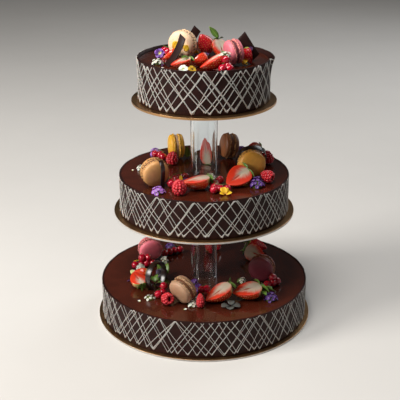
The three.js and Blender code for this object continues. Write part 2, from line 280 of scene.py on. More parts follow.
def closed(grid):
    """A grid with its first column once more at its end."""
    return np.concatenate([grid, grid[:, :1]], axis=1)


def fillet(corners, radius):
    """An open outline with its inner corners rounded."""
    corners = [np.asarray(corner, float) for corner in corners]
    rounded = [corners[0]]
    for before, corner, after in zip(corners, corners[1:], corners[2:]):
        enter = corner + radius * (before - corner) / np.linalg.norm(before - corner)
        leave = corner + radius * (after - corner) / np.linalg.norm(after - corner)
        for share in np.linspace(0, 1, FILLET_STEPS + 1):
            rounded.append((1 - share) ** 2 * enter + 2 * share * (1 - share) * corner + share**2 * leave)
    rounded.append(corners[-1])
    return rounded


def rough(points, scale, seed):
    """Smooth random values, one for each point of a grid, at so many bumps a metre."""
    shift = Vector([seed * step for step in NOISE_SHIFTS])
    flat = points.reshape(-1, 3)
    values = [noise.noise(Vector(point) * scale + shift) for point in flat]
    return np.array(values).reshape(points.shape[:-1])


def stack(*matrices):
    """Product of several matrices."""
    product = Matrix.Identity(4)
    for matrix in matrices:
        product = product @ matrix
    return product


def turned(degrees, axis):
    """Rotation about a main axis."""
    return Matrix.Rotation(math.radians(degrees), 4, axis)


def settle(points, node, row):
    """Place of a topping that rests where its solid rests, turned as its solid is."""
    rotation = stack(turned(row.turn, "Z"), turned(-row.lean, "X"), turned(row.spin, "Y"))
    lowest = (points @ np.array(rotation)[2, :3]).min()
    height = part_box(node)[0].z - lowest
    return stack(Matrix.Translation((row.x * MM, row.y * MM, height)), rotation)


def over_glaze(row, height):
    """A row's place, so many millimetres over its tier's glaze."""
    return Vector((row.x * MM, row.y * MM, TIERS[row.tier].glaze + height * MM))


def blade(form, place, size, curve, shape, cup, thickness, grid=BLADE_GRID):
    """Adds a leaf or petal: a thin closed solid from the origin along +X, with its face up.

    size is (length, width); curve is (start, bend), the rise in degrees at its foot and how far it bends
    on the way; shape moves the widest place to the tip as the first number grows and rounds the ends as
    the second falls; cup lifts its sides by a share of its width.
    """
    rows, columns = grid
    along = np.linspace(0, 1, rows)
    heading = np.radians(curve[0] + curve[1] * along)
    step = size[0] / (rows - 1)
    middle = (heading[1:] + heading[:-1]) / 2
    reach = np.concatenate([[0], np.cumsum(step * np.cos(middle))])
    rise = np.concatenate([[0], np.cumsum(step * np.sin(middle))])
    fullness = np.sin(np.pi * along ** shape[0]).clip(0) ** shape[1]
    across = np.linspace(-1, 1, columns)
    ring = np.concatenate([across, across[::-1], across[:1]])
    side = np.concatenate([np.ones(columns), -np.ones(columns), [1]])
    edge = 1 - BLADE_THINNING * ring**2
    half = size[1] / 2 * fullness[:, None]
    lift = cup * size[1] * fullness[:, None] * ring**2
    lift = lift + side * edge * thickness / 2 * np.sqrt(fullness)[:, None]
    x = reach[:, None] - np.sin(heading)[:, None] * lift
    y = half * ring
    z = rise[:, None] + np.cos(heading)[:, None] * lift
    uvs = np.stack(np.broadcast_arrays((ring + 1) / 2, along[:, None]), axis=-1)
    form.sheet(np.stack([x, y, z], axis=-1), uvs, place=place)


# Node trees

TUBE_SIDES = 8


class Wiring:
    """Short ways to add and link the nodes of a tree."""

    def __init__(self, tree):
        self.tree = tree

    def sockets(self, in_out, **kinds):
        """Gives the tree its named inputs or outputs."""
        for label, kind in kinds.items():
            title = label.replace("_", " ")
            self.tree.interface.new_socket(name=title, in_out=in_out, socket_type=f"NodeSocket{kind}")

    def add(self, kind, links=None, **options):
        """Adds a node, sets its options and feeds its inputs."""
        node = self.tree.nodes.new(kind)
        for option, value in options.items():
            setattr(node, option, value)
        for socket, source in (links or {}).items():
            if isinstance(source, bpy.types.NodeSocket):
                self.tree.links.new(source, node.inputs[socket])
            else:
                node.inputs[socket].default_value = source
        return node

    def value(self, operation, *sources):
        """Result of a math node."""
        return self.add("ShaderNodeMath", dict(enumerate(sources)), operation=operation).outputs[0]


class Graph(Wiring):
    """A geometry node tree with named inputs."""

    def __init__(self, name, **inputs):
        super().__init__(bpy.data.node_groups.new(name, "GeometryNodeTree"))
        self.sockets("INPUT", Geometry="Geometry", **inputs)
        self.sockets("OUTPUT", Geometry="Geometry")
        self.inputs = self.add("NodeGroupInput").outputs

    def attribute(self, name, kind):
        """Values that the input mesh carries under a name."""
        node = self.add("GeometryNodeInputNamedAttribute", {"Name": name}, data_type=kind)
        return node.outputs["Attribute"]

    def finish(self, geometry):
        """Realizes, smooths and colours the result."""
        realized = self.add("GeometryNodeRealizeInstances", {"Geometry": geometry}).outputs[0]
        smooth = self.add("GeometryNodeSetShadeSmooth", {"Geometry": realized}).outputs[0]
        links = {"Geometry": smooth, "Material": self.inputs["Finish"]}
        coloured = self.add("GeometryNodeSetMaterial", links).outputs[0]
        self.add("NodeGroupOutput", {"Geometry": coloured})
        return self.tree


def scatter_tree(name):
    """Sets a copy of one thing on every point, facing and turned as the point says."""
    graph = Graph(name, Thing="Object", Finish="Material")
    align = "FunctionNodeAlignRotationToVector"
    links = {"Vector": graph.attribute("facing", "FLOAT_VECTOR")}
    facing = graph.add(align, links, axis="Z").outputs[0]
    links = {"Rotation": facing, "Vector": graph.attribute("along", "FLOAT_VECTOR")}
    rotation = graph.add(align, links, axis="X", pivot_axis="Z").outputs[0]
    links = {"Object": graph.inputs["Thing"], "As Instance": True}
    thing = graph.add("GeometryNodeObjectInfo", links).outputs["Geometry"]
    size = graph.attribute("size", "FLOAT")
    links = {"Points": graph.inputs["Geometry"], "Instance": thing, "Rotation": rotation, "Scale": size}
    return graph.finish(graph.add("GeometryNodeInstanceOnPoints", links).outputs[0])


def swept_tube(graph, flatness):
    """A closed tube along every route of the input, as wide as its points say."""
    routes = graph.add("GeometryNodeMeshToCurve", {"Mesh": graph.inputs["Geometry"]}).outputs[0]
    level = graph.add("GeometryNodeSetCurveNormal", {"Curve": routes}, mode="Z_UP").outputs[0]
    ring = graph.add("GeometryNodeCurvePrimitiveCircle", {"Resolution": TUBE_SIDES, "Radius": 0.5})
    oval = graph.add("ShaderNodeCombineXYZ", {"X": 1.0, "Y": flatness, "Z": 1.0}).outputs[0]
    links = {"Geometry": ring.outputs["Curve"], "Scale": oval}
    section = graph.add("GeometryNodeTransform", links).outputs[0]
    width = graph.attribute("width", "FLOAT")
    links = {"Curve": level, "Profile Curve": section, "Scale": width, "Fill Caps": True}
    return graph.add("GeometryNodeCurveToMesh", links).outputs[0]


def stalk_tree(name):
    """Round stalks along routes."""
    graph = Graph(name, Finish="Material")
    return graph.finish(swept_tube(graph, 1.0))


def piping_tree(name):
    """Flat piped lines, drawn on the XY plane and wrapped round a collar with Y as their height."""
    graph = Graph(name, Collar_radius="Float", Flatness="Float", Finish="Material")
    tube = swept_tube(graph, graph.inputs["Flatness"])
    place = graph.add("GeometryNodeInputPosition").outputs[0]
    flat = graph.add("ShaderNodeSeparateXYZ", {0: place}).outputs
    angle = graph.value("DIVIDE", flat["X"], graph.inputs["Collar radius"])
    radius = graph.value("ADD", flat["Z"], graph.inputs["Collar radius"])
    back = graph.value("MULTIPLY", graph.value("COSINE", angle), -1.0)
    x = graph.value("MULTIPLY", radius, graph.value("SINE", angle))
    y = graph.value("MULTIPLY", radius, back)
    wrapped = graph.add("ShaderNodeCombineXYZ", {"X": x, "Y": y, "Z": flat["Y"]}).outputs[0]
    links = {"Geometry": tube, "Position": wrapped}
    return graph.finish(graph.add("GeometryNodeSetPosition", links).outputs[0])


def tree_of(name, build):
    """A node tree by name, built once."""
    return bpy.data.node_groups.get(name) or build(name)


def run_tree(tree, carrier_mesh, **inputs):
    """Runs a tree on a mesh and returns the plain mesh that it makes."""
    carrier = bpy.data.objects.new("carrier", carrier_mesh)
    bpy.context.scene.collection.objects.link(carrier)
    modifier = carrier.modifiers.new(tree.name, "NODES")
    modifier.node_group = tree
    sockets = {item.name: item.identifier for item in tree.interface.items_tree if item.in_out == "INPUT"}
    for label, value in inputs.items():
        modifier[sockets[label.replace("_", " ")]] = value
    graph = bpy.context.evaluated_depsgraph_get()
    evaluated = carrier.evaluated_get(graph)
    made = bpy.data.meshes.new_from_object(evaluated, preserve_all_data_layers=True, depsgraph=graph)
    carrier.modifiers.remove(modifier)
    bpy.data.objects.remove(carrier)
    return made


Spot = namedtuple("Spot", "place facing along size")
SPOT_FIELDS = {
    "facing": ("FLOAT_VECTOR", "vector"),
    "along": ("FLOAT_VECTOR", "vector"),
    "size": ("FLOAT", "value"),
}


def scatter(spots, thing_mesh, finish):
    """One mesh with a copy of a thing on each spot."""
    points = bpy.data.meshes.new("spots")
    points.from_pydata([tuple(spot.place) for spot in spots], [], [])
    for field, (kind, key) in SPOT_FIELDS.items():
        values = np.array([getattr(spot, field) for spot in spots], np.float32)
        points.attributes.new(field, kind, "POINT").data.foreach_set(key, values.ravel())
    thing_mesh.materials.append(finish)
    thing = bpy.data.objects.new("thing", thing_mesh)
    made = run_tree(tree_of("Scatter", scatter_tree), points, Thing=thing, Finish=finish)
    bpy.data.objects.remove(thing)
    return made


def route_mesh(routes):
    """Edges along routes of (x, y, z, width) rows, with the width kept on each point."""
    made = bpy.data.meshes.new("routes")
    rows = np.concatenate(routes)
    edges = []
    start = 0
    for route in routes:
        edges += [(i, i + 1) for i in range(start, start + len(route) - 1)]
        start += len(route)
    made.from_pydata(rows[:, :3].tolist(), edges, [])
    made.attributes.new("width", "FLOAT", "POINT").data.foreach_set("value", rows[:, 3].astype(np.float32))
    return made


def dress(name, mesh, slot, *nodes):
    """Adds a finished mesh to the cake and lets it stand for its solids."""
    mesh.name = name
    piece = bpy.data.objects.new(name, mesh)
    bpy.context.scene.collection.objects.link(piece)
    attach(piece, "root")
    if nodes:
        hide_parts(*nodes)


# Finishes

POLISH_DARKENS = 0.4
# Roughness of dull chocolate in its dark and light patches, and how much polish takes off it
CHOCOLATE_ROUGHNESS = ((0.5, 0.2), (0.65, 0.25))
FOIL_ROUGHNESS = (0.3, 0.38)
DRAW_LINE_SCALE = (1, 1, 0.04)
TOAST = (0.42, 0.22, 0.07)
TOAST_SHARE = 0.35
# Stops of the crumb on a macaron's foot: how open its pores are, and the share of its colour there; the
# darkest stop, in the pits that the same noise sinks, is painted shade, and the lighter stops are the
# crust's own golden colour
CRUMB_AND_PIT_SHADE_TONES = ((0.4, 0.3), (0.52, 1.0), (0.64, 1.35))
# From a macaron's dome to its foot: how rough it is, and how deep its pores are
SHELL_ROUGHNESS = (0.46, 0.75)
PORE_DEPTHS = (0.15, 1.0)
# Painted shade along the crease between a macaron's dome and its foot, as a share of the shell's colour
CREASE_SHADE_TONE = 0.3
PALE_SHOULDER = (0.82, 0.6, 0.28)
GREEN_CROWN = (0.42, 0.45, 0.1)
SHOULDER_UNEVEN = 0.12
FLESH_VEINS_ALONG = 30.0
FLESH_VEINS_ACROSS = 1.5
FLESH_VEIN_SLANT = 7.0
LEAF_VEINS = 60.0
LEAF_VEIN_SLANT = -18.0
CURRANT_STRIPES = 9
DRY_TIP = (0.02, 0.01, 0.006)
PETAL_STREAKS = 14.0
# Where a petal's eye ends, its body starts and ends, and its rim is full
PETAL_STOPS = (0.16, 0.34, 0.75, 1.0)

# Soft edges and shifts: a value's range and, where it isn't 0 to 1, the range that it becomes
# Painted shade of a macaron's crease: how far from the crease it fades out
CREASE_SHADE_EDGE = (0.04, 0.0, 0.0, 0.8)
GREEN_EDGE = (0.8, 0.96)
FLESH_TIP_SHIFT = (0.62, 0.05, 0.0, 0.8)
FLESH_CROWN_SHIFT = (0.7, 1.0, 0.0, -0.25)
FLESH_VEIN_SHIFT = (0.3, 0.7, -0.16, 0.16)
# Painted shade along a strawberry's core groove: its edge, where it starts and how it narrows towards the
# crown
SLIT_EDGE = (0.14, 0.02)
SLIT_START = (0.2, 0.4)
SLIT_TAPER = (0.55, 0.85, 0.0, 0.3)
LEAF_VEIN_EDGE = (0.7, 1.0, 0.0, 0.35)
RIB_EDGE = (0.16, 0.02)
STRIPE_EDGE = (0.6, 1.0, 0.0, 0.3)
DRY_TIP_EDGE = (0.9, 0.94)
STREAK_SHIFT = (0.3, 0.7, -0.1, 0.1)

# How many soft patches a metre has, and how dark and light they get as shares of the colour
Patches = namedtuple("Patches", "scale dark light")
# How many bumps a metre has, how deep they are and how strongly they shade
Grain = namedtuple("Grain", "scale depth strength")


def tone(colour_value, share=1.0):
    """A colour made darker or lighter, with its alpha."""
    return (*[min(1.0, part * share) for part in colour_value], 1.0)


def mottle_tree(name):
    """Shader group: two colours mixed in soft patches."""
    group = Wiring(bpy.data.node_groups.new(name, "ShaderNodeTree"))
    group.sockets("INPUT", Scale="Float", Dark="Color", Light="Color")
    group.sockets("OUTPUT", Colour="Color", Mask="Float")
    enter = group.add("NodeGroupInput").outputs
    place = group.add("ShaderNodeTexCoord").outputs["Object"]
    links = {"Vector": place, "Scale": enter["Scale"], "Detail": 5, "Roughness": 0.6}
    cloud = group.add("ShaderNodeTexNoise", links).outputs["Fac"]
    links = {"Value": cloud, "From Min": 0.32, "From Max": 0.68}
    mask = group.add("ShaderNodeMapRange", links).outputs["Result"]
    links = {"Factor": mask, "A": enter["Dark"], "B": enter["Light"]}
    mixed = group.add("ShaderNodeMix", links, data_type="RGBA").outputs["Result"]
    group.add("NodeGroupOutput", {"Colour": mixed, "Mask": mask})
    return group.tree


class Finish(Wiring):
    """One material, with short ways to add the nodes that the finishes need."""

    def __init__(self, name, **constants):
        self.material = bpy.data.materials.new(name)
        self.material.use_nodes = True
        super().__init__(self.material.node_tree)
        self.shader = self.tree.nodes["Principled BSDF"]
        for label, value in constants.items():
            self.shader.inputs[label.replace("_", " ").title().replace("Ior", "IOR")].default_value = value

    def feed(self, socket, source):
        """Links a node's output to the shader."""
        self.tree.links.new(source, self.shader.inputs[socket])

    def mottle(self, shade, patches):
        """Colour and mask of soft patches in two tones of a shade."""
        tones = {"Dark": tone(shade, patches.dark), "Light": tone(shade, patches.light)}
        group = tree_of("Mottle", mottle_tree)
        node = self.add("ShaderNodeGroup", {"Scale": patches.scale, **tones}, node_tree=group)
        return node.outputs["Colour"], node.outputs["Mask"]

    def uv(self):
        """The two parts of the piece's own UV map."""
        place = self.add("ShaderNodeUVMap", uv_map=UV_MAP).outputs[0]
        parts = self.add("ShaderNodeSeparateXYZ", {0: place}).outputs
        return parts["X"], parts["Y"]

    def off_middle(self, across):
        """How far a UV's first part is from the middle, from 0 to 1 at either side."""
        return self.value("ABSOLUTE", self.value("MULTIPLY_ADD", across, 2.0, -1.0))

    def lanes(self, across, along):
        """Place for noise that runs in lanes over the piece's own UV map."""
        return self.add("ShaderNodeCombineXYZ", {"X": across, "Y": along}).outputs[0]

    def spread(self, source, low, high, to_low=0.0, to_high=1.0):
        """A value moved from one range to another and kept inside it."""
        links = {"Value": source, "From Min": low, "From Max": high, "To Min": to_low, "To Max": to_high}
        return self.add("ShaderNodeMapRange", links).outputs["Result"]

    def mix(self, share, first, second):
        """Two colours mixed by a share."""
        links = {"Factor": share, "A": first, "B": second}
        return self.add("ShaderNodeMix", links, data_type="RGBA").outputs["Result"]

    def ramp(self, share, *stops):
        """Colours along a share, from (place, colour) stops."""
        node = self.add("ShaderNodeValToRGB", {"Fac": share})
        marks = node.color_ramp.elements
        while len(marks) < len(stops):
            marks.new(1.0)
        for mark, (place, shade) in zip(marks, stops):
            mark.position = place
            mark.color = shade
        return node.outputs["Color"]

    def noise(self, scale, detail=3.0, vector=None):
        """Noise over the piece; scale counts its bumps a metre."""
        vector = vector or self.add("ShaderNodeTexCoord").outputs["Object"]
        links = {"Vector": vector, "Scale": scale, "Detail": detail}
        return self.add("ShaderNodeTexNoise", links).outputs["Fac"]

    def relief(self, height, depth, strength):
        """Feeds a height to the shader's normal."""
        links = {"Height": height, "Distance": depth, "Strength": strength}
        self.feed("Normal", self.add("ShaderNodeBump", links).outputs["Normal"])

    def grain(self, grain):
        """Feeds fine bumps to the shader's normal."""
        self.relief(self.noise(grain.scale), grain.depth, grain.strength)


def finish_of(name, build, *values):
    """A material by name, built once."""
    return bpy.data.materials.get(name) or build(name, *values)


def patchy_finish(name, shade, patches, grain=None, rough_range=None, **constants):
    """One colour in soft patches, with fine bumps and a range of roughness where they are given."""
    finish = Finish(name, **constants)
    mottled, mask = finish.mottle(shade, patches)
    finish.feed("Base Color", mottled)
    if rough_range:
        finish.feed("Roughness", finish.spread(mask, 0, 1, *rough_range))
    if grain:
        finish.grain(grain)
    return finish.material


def glaze_finish(name):
    """Poured dark chocolate with a mirror shine."""
    shade = settings().colours.glaze
    shine = {"roughness": 0.2, "coat_weight": 0.5, "coat_roughness": 0.04, "specular_ior_level": 0.25}
    return patchy_finish(name, shade, Patches(38, 0.85, 1.2), Grain(60, 0.0006, 0.12), **shine)


def chocolate_finish(name, shine):
    """Set chocolate with a little bloom, from dull at 0 to polished and darker at 1."""
    shade = [part * (1 - POLISH_DARKENS * shine) for part in settings().colours.chocolate]
    roughness = [dull - polish * shine for dull, polish in CHOCOLATE_ROUGHNESS]
    gloss = {"specular_ior_level": 0.15 + 0.3 * shine, "coat_weight": 0.6 * shine, "coat_roughness": 0.28}
    return patchy_finish(name, shade, Patches(140, 0.8, 1.5), Grain(900, 0.00008, 0.4), roughness, **gloss)


def piping_finish(name):
    """White chocolate, a little uneven."""
    shade = settings().colours.piping
    soft = {"roughness": 0.45, "subsurface_weight": 0.1, "subsurface_scale": 0.001}
    return patchy_finish(name, shade, Patches(260, 0.82, 1.0), Grain(1500, 0.00006, 0.4), **soft)


def foil_finish(name):
    """Gold foil on card, faintly grained by its backing."""
    shade = settings().colours.gold
    grain = Grain(1600, 0.00004, 0.2)
    return patchy_finish(name, shade, Patches(60, 0.93, 1.05), grain, FOIL_ROUGHNESS, metallic=1.0)


def board_edge_finish(name):
    """Wrapped silver-white edge of a board."""
    shade = settings().colours.board_edge
    return patchy_finish(name, shade, Patches(220, 0.75, 1.0), metallic=0.2, roughness=0.4)


def acrylic_finish(name):
    """Clear acrylic, with faint draw lines along the tube."""
    shade = settings().colours.acrylic
    finish = Finish(name, base_color=tone(shade), roughness=0.02, ior=1.49, transmission_weight=1.0)
    place = finish.add("ShaderNodeTexCoord").outputs["Object"]
    lengthwise = finish.add("ShaderNodeMapping", {"Vector": place, "Scale": DRAW_LINE_SCALE}).outputs[0]
    finish.relief(finish.noise(150, 1.0, lengthwise), 0.0006, 0.3)
    return finish.material


def macaron_finish(name, shade):
    """Baked shell, smooth on its dome and porous at its foot, told apart by the UV's second part, with
    painted shade in the crease between them and in the foot's pits.
    """
    finish = Finish(name, subsurface_weight=0.12, subsurface_scale=0.002)
    _, along = finish.uv()
    foot = finish.spread(along, *FOOT_EDGE)
    dome, _ = finish.mottle(shade, Patches(170, 0.9, 1.05))
    pores = finish.noise(620, 6.0)
    golden = [(1 - TOAST_SHARE) * part + TOAST_SHARE * toast for part, toast in zip(shade, TOAST)]
    # The crumb is darkest in the foot's pits, as painted shade; the raised crumb keeps the lighter golden
    # colour
    crumb = finish.ramp(pores, *[(place, tone(golden, share)) for place, share in CRUMB_AND_PIT_SHADE_TONES])
    # Painted shade: the crease between dome and foot is darkened to 0.3 of the shell's colour
    off_crease = finish.value("ABSOLUTE", finish.value("SUBTRACT", along, CREASE))
    crumb = finish.mix(finish.spread(off_crease, *CREASE_SHADE_EDGE), crumb, tone(shade, CREASE_SHADE_TONE))
    finish.feed("Base Color", finish.mix(foot, dome, crumb))
    finish.feed("Roughness", finish.spread(foot, 0, 1, *SHELL_ROUGHNESS))
    height = finish.value("MULTIPLY", pores, finish.spread(foot, 0, 1, *PORE_DEPTHS))
    finish.relief(height, 0.0006, 0.8)
    return finish.material


def filling_finish(name, shade):
    """Soft ganache between two shells, at half to nine tenths of its colour: the ganache's own darker tone
    and painted shade in the gap where it sits back from the shells.
    """
    # The darkening is partly painted shade of the recessed gap between the shells
    return patchy_finish(name, shade, Patches(400, 0.5, 0.9), Grain(900, 0.0003, 0.5), roughness=0.5)


def strawberry_skin_finish(name, shade, shoulder_edge):
    """Wet red skin, paler and greener from its shoulder to its crown."""
    wet = {"roughness": 0.24, "coat_weight": 0.4, "coat_roughness": 0.08}
    finish = Finish(name, subsurface_weight=0.12, subsurface_scale=0.002, **wet)
    _, along = finish.uv()
    red, mask = finish.mottle(shade, Patches(160, 0.72, 1.12))
    uneven = finish.value("MULTIPLY_ADD", mask, SHOULDER_UNEVEN, along)
    shoulder = finish.spread(uneven, *shoulder_edge)
    pale = finish.mix(finish.spread(along, *GREEN_EDGE), tone(PALE_SHOULDER), tone(GREEN_CROWN))
    finish.feed("Base Color", finish.mix(shoulder, red, pale))
    finish.grain(Grain(700, 0.0001, 0.4))
    return finish.material


def strawberry_flesh_finish(name, ripeness):
    """Cut face: red by the skin, white round the core, with pale veins between, and painted shade darker
    along the core's groove.
    """
    colours = settings().colours
    wet = {"roughness": 0.3, "coat_weight": 0.25, "coat_roughness": 0.1}
    finish = Finish(name, subsurface_weight=0.2, subsurface_scale=0.003, **wet)
    across, along = finish.uv()
    reach = finish.off_middle(across)
    rows = finish.value("MULTIPLY", along, FLESH_VEINS_ALONG)
    slant = finish.value("MULTIPLY_ADD", reach, FLESH_VEIN_SLANT, rows)
    veins = finish.noise(1.0, 2.0, finish.lanes(finish.value("MULTIPLY", reach, FLESH_VEINS_ACROSS), slant))
    tip = finish.spread(along, *FLESH_TIP_SHIFT)
    crown = finish.spread(along, *FLESH_CROWN_SHIFT)
    depth = finish.value("ADD", reach, finish.value("ADD", tip, crown))
    depth = finish.value("ADD", depth, finish.spread(veins, *FLESH_VEIN_SHIFT))
    depth = finish.value("ADD", depth, ripeness)
    pink = tone([0.5 * (red + white) for red, white in zip(colours.flesh, colours.heart)])
    shade = finish.ramp(
        depth,
        (0.0, tone(colours.heart, 0.95)),
        (0.3, tone(colours.heart)),
        (0.55, pink),
        (0.8, tone(colours.flesh)),
        (0.97, tone(colours.strawberry)),
    )
    # Painted shade: a darker red line along the core's groove, from a fifth of the length and narrowing
    # towards the crown
    off_slit = finish.value("ADD", reach, finish.spread(along, *SLIT_TAPER))
    slit = finish.spread(off_slit, *SLIT_EDGE)
    slit = finish.value("MULTIPLY", slit, finish.spread(along, *SLIT_START))
    finish.feed("Base Color", finish.mix(slit, shade, tone(colours.flesh, 0.7)))
    finish.relief(veins, 0.0004, 0.35)
    return finish.material


def seed_finish(name):
    """Golden seeds."""
    return patchy_finish(name, settings().colours.seed, Patches(600, 0.7, 1.15), roughness=0.4)


def leaf_finish(name):
    """Leaf with a pale midrib and side veins."""
    shade = settings().colours.leaf
    finish = Finish(name, roughness=0.42, subsurface_weight=0.08, subsurface_scale=0.001)
    across, along = finish.uv()
    off_rib = finish.off_middle(across)
    green, _ = finish.mottle(shade, Patches(420, 0.6, 1.15))
    slant = finish.value("MULTIPLY", off_rib, LEAF_VEIN_SLANT)
    side = finish.value("SINE", finish.value("MULTIPLY_ADD", along, LEAF_VEINS, slant))
    veins = finish.spread(side, *LEAF_VEIN_EDGE)
    rib = finish.value("MAXIMUM", finish.spread(off_rib, *RIB_EDGE), veins)
    finish.feed("Base Color", finish.mix(rib, green, tone(shade, 2.0)))
    finish.relief(rib, 0.0002, 0.4)
    return finish.material


def raspberry_finish(name):
    """Juicy drupelets."""
    wet = {"roughness": 0.32, "coat_weight": 0.15, "coat_roughness": 0.15}
    juicy = {"subsurface_weight": 0.2, "subsurface_scale": 0.002}
    return patchy_finish(name, settings().colours.raspberry, Patches(330, 0.8, 1.2), **wet, **juicy)


def hollow_shade_finish(name):
    """Inside of a raspberry's hollow: dry and rough, its colour painted near-black as the hollow's shade."""
    dry = {"roughness": 0.8, "specular_ior_level": 0.1}
    # The raspberry's red at 6 to 20 per cent of its strength is painted shade
    return patchy_finish(name, settings().colours.raspberry, Patches(500, 0.06, 0.2), **dry)


def currant_finish(name):
    """Clear red berry with faint meridians and a dry brown tip."""
    shade = settings().colours.currant
    wet = {"roughness": 0.08, "coat_weight": 0.6, "coat_roughness": 0.03}
    finish = Finish(name, subsurface_weight=0.3, subsurface_scale=0.003, **wet)
    across, along = finish.uv()
    wave = finish.value("SINE", finish.value("MULTIPLY", across, CURRANT_STRIPES * TAU))
    red = finish.mix(finish.spread(wave, *STRIPE_EDGE), tone(shade), tone(shade, 1.9))
    finish.feed("Base Color", finish.mix(finish.spread(along, *DRY_TIP_EDGE), red, tone(DRY_TIP)))
    return finish.material


def stalk_finish(name):
    """Thin green stalks."""
    return patchy_finish(name, settings().colours.stalk, Patches(300, 0.6, 1.2), roughness=0.5)


def petal_finish(name, eye, body, rim):
    """Petals with an eye at their foot and a rim at their tip, in fine streaks."""
    finish = Finish(name, roughness=0.5, subsurface_weight=0.1, subsurface_scale=0.001)
    across, along = finish.uv()
    streaks = finish.noise(1.0, 2.0, finish.lanes(finish.value("MULTIPLY", across, PETAL_STREAKS), along))
    depth = finish.value("ADD", along, finish.spread(streaks, *STREAK_SHIFT))
    finish.feed("Base Color", finish.ramp(depth, *zip(PETAL_STOPS, (eye, body, body, rim))))
    finish.relief(streaks, 0.0002, 0.3)
    return finish.material


def petals_of(kind):
    """The finish of one kind of petal, from the colours of its eye, body and rim."""
    colours = settings().colours
    shades = {
        "Lilac": (tone((0.8, 0.75, 0.5)), tone(colours.lilac), tone(colours.lilac, 1.5)),
        "Violet": (tone((0.5, 0.4, 0.4)), tone(colours.violet), tone(colours.violet, 1.35)),
        "White": (tone((0.5, 0.6, 0.12)), tone(colours.white), tone(colours.white)),
        "Yellow": (tone((0.55, 0.25, 0.02)), tone(colours.yellow), tone(colours.yellow)),
        "Plum": (tone((0.1, 0.02, 0.08)), tone((0.05, 0.012, 0.06)), tone((0.16, 0.05, 0.25))),
        # Pale petals in painted shade: body, darker eye and lighter rim all start from the painted grey
        "Grey": (tone(colours.grey, 0.12), tone(colours.grey), tone(colours.grey, 1.3)),
        "Lime": (tone((0.3, 0.4, 0.05)), tone((0.6, 0.62, 0.25)), tone(colours.white)),
        "Primula": (tone((0.7, 0.65, 0.2)), tone(colours.violet, 1.2), tone(colours.lilac, 1.5)),
        "White viola": (tone((0.4, 0.45, 0.16)), tone(colours.white, 0.9), tone(colours.white)),
        "Yellow viola": (tone((0.012, 0.008, 0.01)), tone(colours.yellow, 0.7), tone(colours.yellow)),
        "Plum viola": (tone((0.012, 0.008, 0.01)), tone((0.015, 0.006, 0.022)), tone(colours.violet, 0.6)),
    }
    return finish_of(kind, petal_finish, *shades[kind])


def crumb_finish(name):
    """Broken cake and chocolate."""
    return patchy_finish(name, settings().colours.chocolate, Patches(900, 0.8, 2.6), roughness=0.7)


def floor_finish(name):
    """Matt studio floor."""
    matt = {"roughness": 0.8, "specular_ior_level": 0.2}
    return patchy_finish(name, settings().colours.floor, Patches(2.5, 0.96, 1.0), **matt)


# Boards, tiers, collars and pillars

TIER_SIDES = 192
BOARD_ROUND = 0.0004
BOARD_RINGS = 8
# Height of the fold between a board's face and its wrapped edge, as a share of its thickness
BOARD_FOLD = 0.8
# Finish of each board's lower side: 0 is gold, 1 is the silver-white edge
BOARD_WRAPS = {"bottom": 1, "middle": 1, "top": 0}
GLAZE_RINGS = 44
GLAZE_ROUND = 0.0008
GLAZE_CALM = 4 * GLAZE_ROUND
GLAZE_BUMPS = 45
SEAMS = {"bottom": 95.0, "middle": 120.0, "top": 80.0}
LOOSE_ENDS = {"bottom": 0.0008, "middle": 0.0008, "top": 0.0055}
LOOSE_SWEEP = 60.0
LOOSE_POWER = 6
COLLAR_ROWS = 9
COLLAR_SIDES = 2 * TIER_SIDES
COLLAR_ROUND = COLLAR_THICKNESS / 3
RIM_RAGGED = 0.0005
RIM_BUMPS = 55
PILLAR_SIDES = 96
PILLAR_ROUND = PILLAR_WALL / 8


class CAKE_OT_boards(bpy.types.Operator):
    """Adds the gold-faced boards under the tiers"""

    bl_idname = "cake.boards"
    bl_label = "Boards"

    def execute(self, context):
        finishes = (finish_of("Gold foil", foil_finish), finish_of("Board edge", board_edge_finish))
        for tier in TIERS.values():
            form = Form()
            inner = tier.board_radius - 2 * BOARD_ROUND
            for level in (tier.board_top, tier.floor):
                face = [(inner * share, level) for share in np.linspace(0, 1, BOARD_RINGS)]
                form.sheet(revolve(face, TIER_SIDES))
            fold = (tier.board_radius, tier.floor + BOARD_FOLD * (tier.board_top - tier.floor))
            for level, finish in ((tier.board_top, 0), (tier.floor, BOARD_WRAPS[tier.name])):
                outline = fillet([(inner, level), (tier.board_radius, level), fold], BOARD_ROUND)
                form.sheet(revolve(outline, TIER_SIDES), finish=finish)
            dress(f"gold_board_{tier.name}", form.mesh(*finishes), "board_gold", f"{tier.name}_board")
        return {"FINISHED"}


class CAKE_OT_tiers(bpy.types.Operator):
    """Adds the glazed tiers"""

    bl_idname = "cake.tiers"
    bl_label = "Glazed tiers"

    def execute(self, context):
        sizes = settings().sizes
        finish = finish_of("Mirror glaze", glaze_finish)
        for seed, tier in enumerate(TIERS.values(), start=1):
            form = Form()
            foot = tier.radius - COLLAR_THICKNESS
            radius = foot + tier.flare * (tier.glaze - tier.seat) / (tier.rim - tier.seat)
            form.sheet(revolve([(0, tier.seat), (foot, tier.seat), (radius, tier.glaze)], TIER_SIDES))
            reach = radius * np.sin(np.linspace(math.pi / 2, 0, GLAZE_RINGS))
            top = revolve([(r, tier.glaze) for r in reach], TIER_SIDES)
            climb = sizes.meniscus * np.exp(-((radius - reach) / GLAZE_ROUND))
            calm = np.clip((radius - reach) / GLAZE_CALM, 0, 1)
            wave = closed(sizes.glaze_wave * rough(top[:, :-1], GLAZE_BUMPS, seed))
            top[..., 2] += climb[:, None] + calm[:, None] * wave
            top[0, :, 2] = tier.glaze
            form.sheet(top)
            dress(f"glazed_tier_{tier.name}", form.mesh(finish), "glaze", f"{tier.name}_cake")
        return {"FINISHED"}


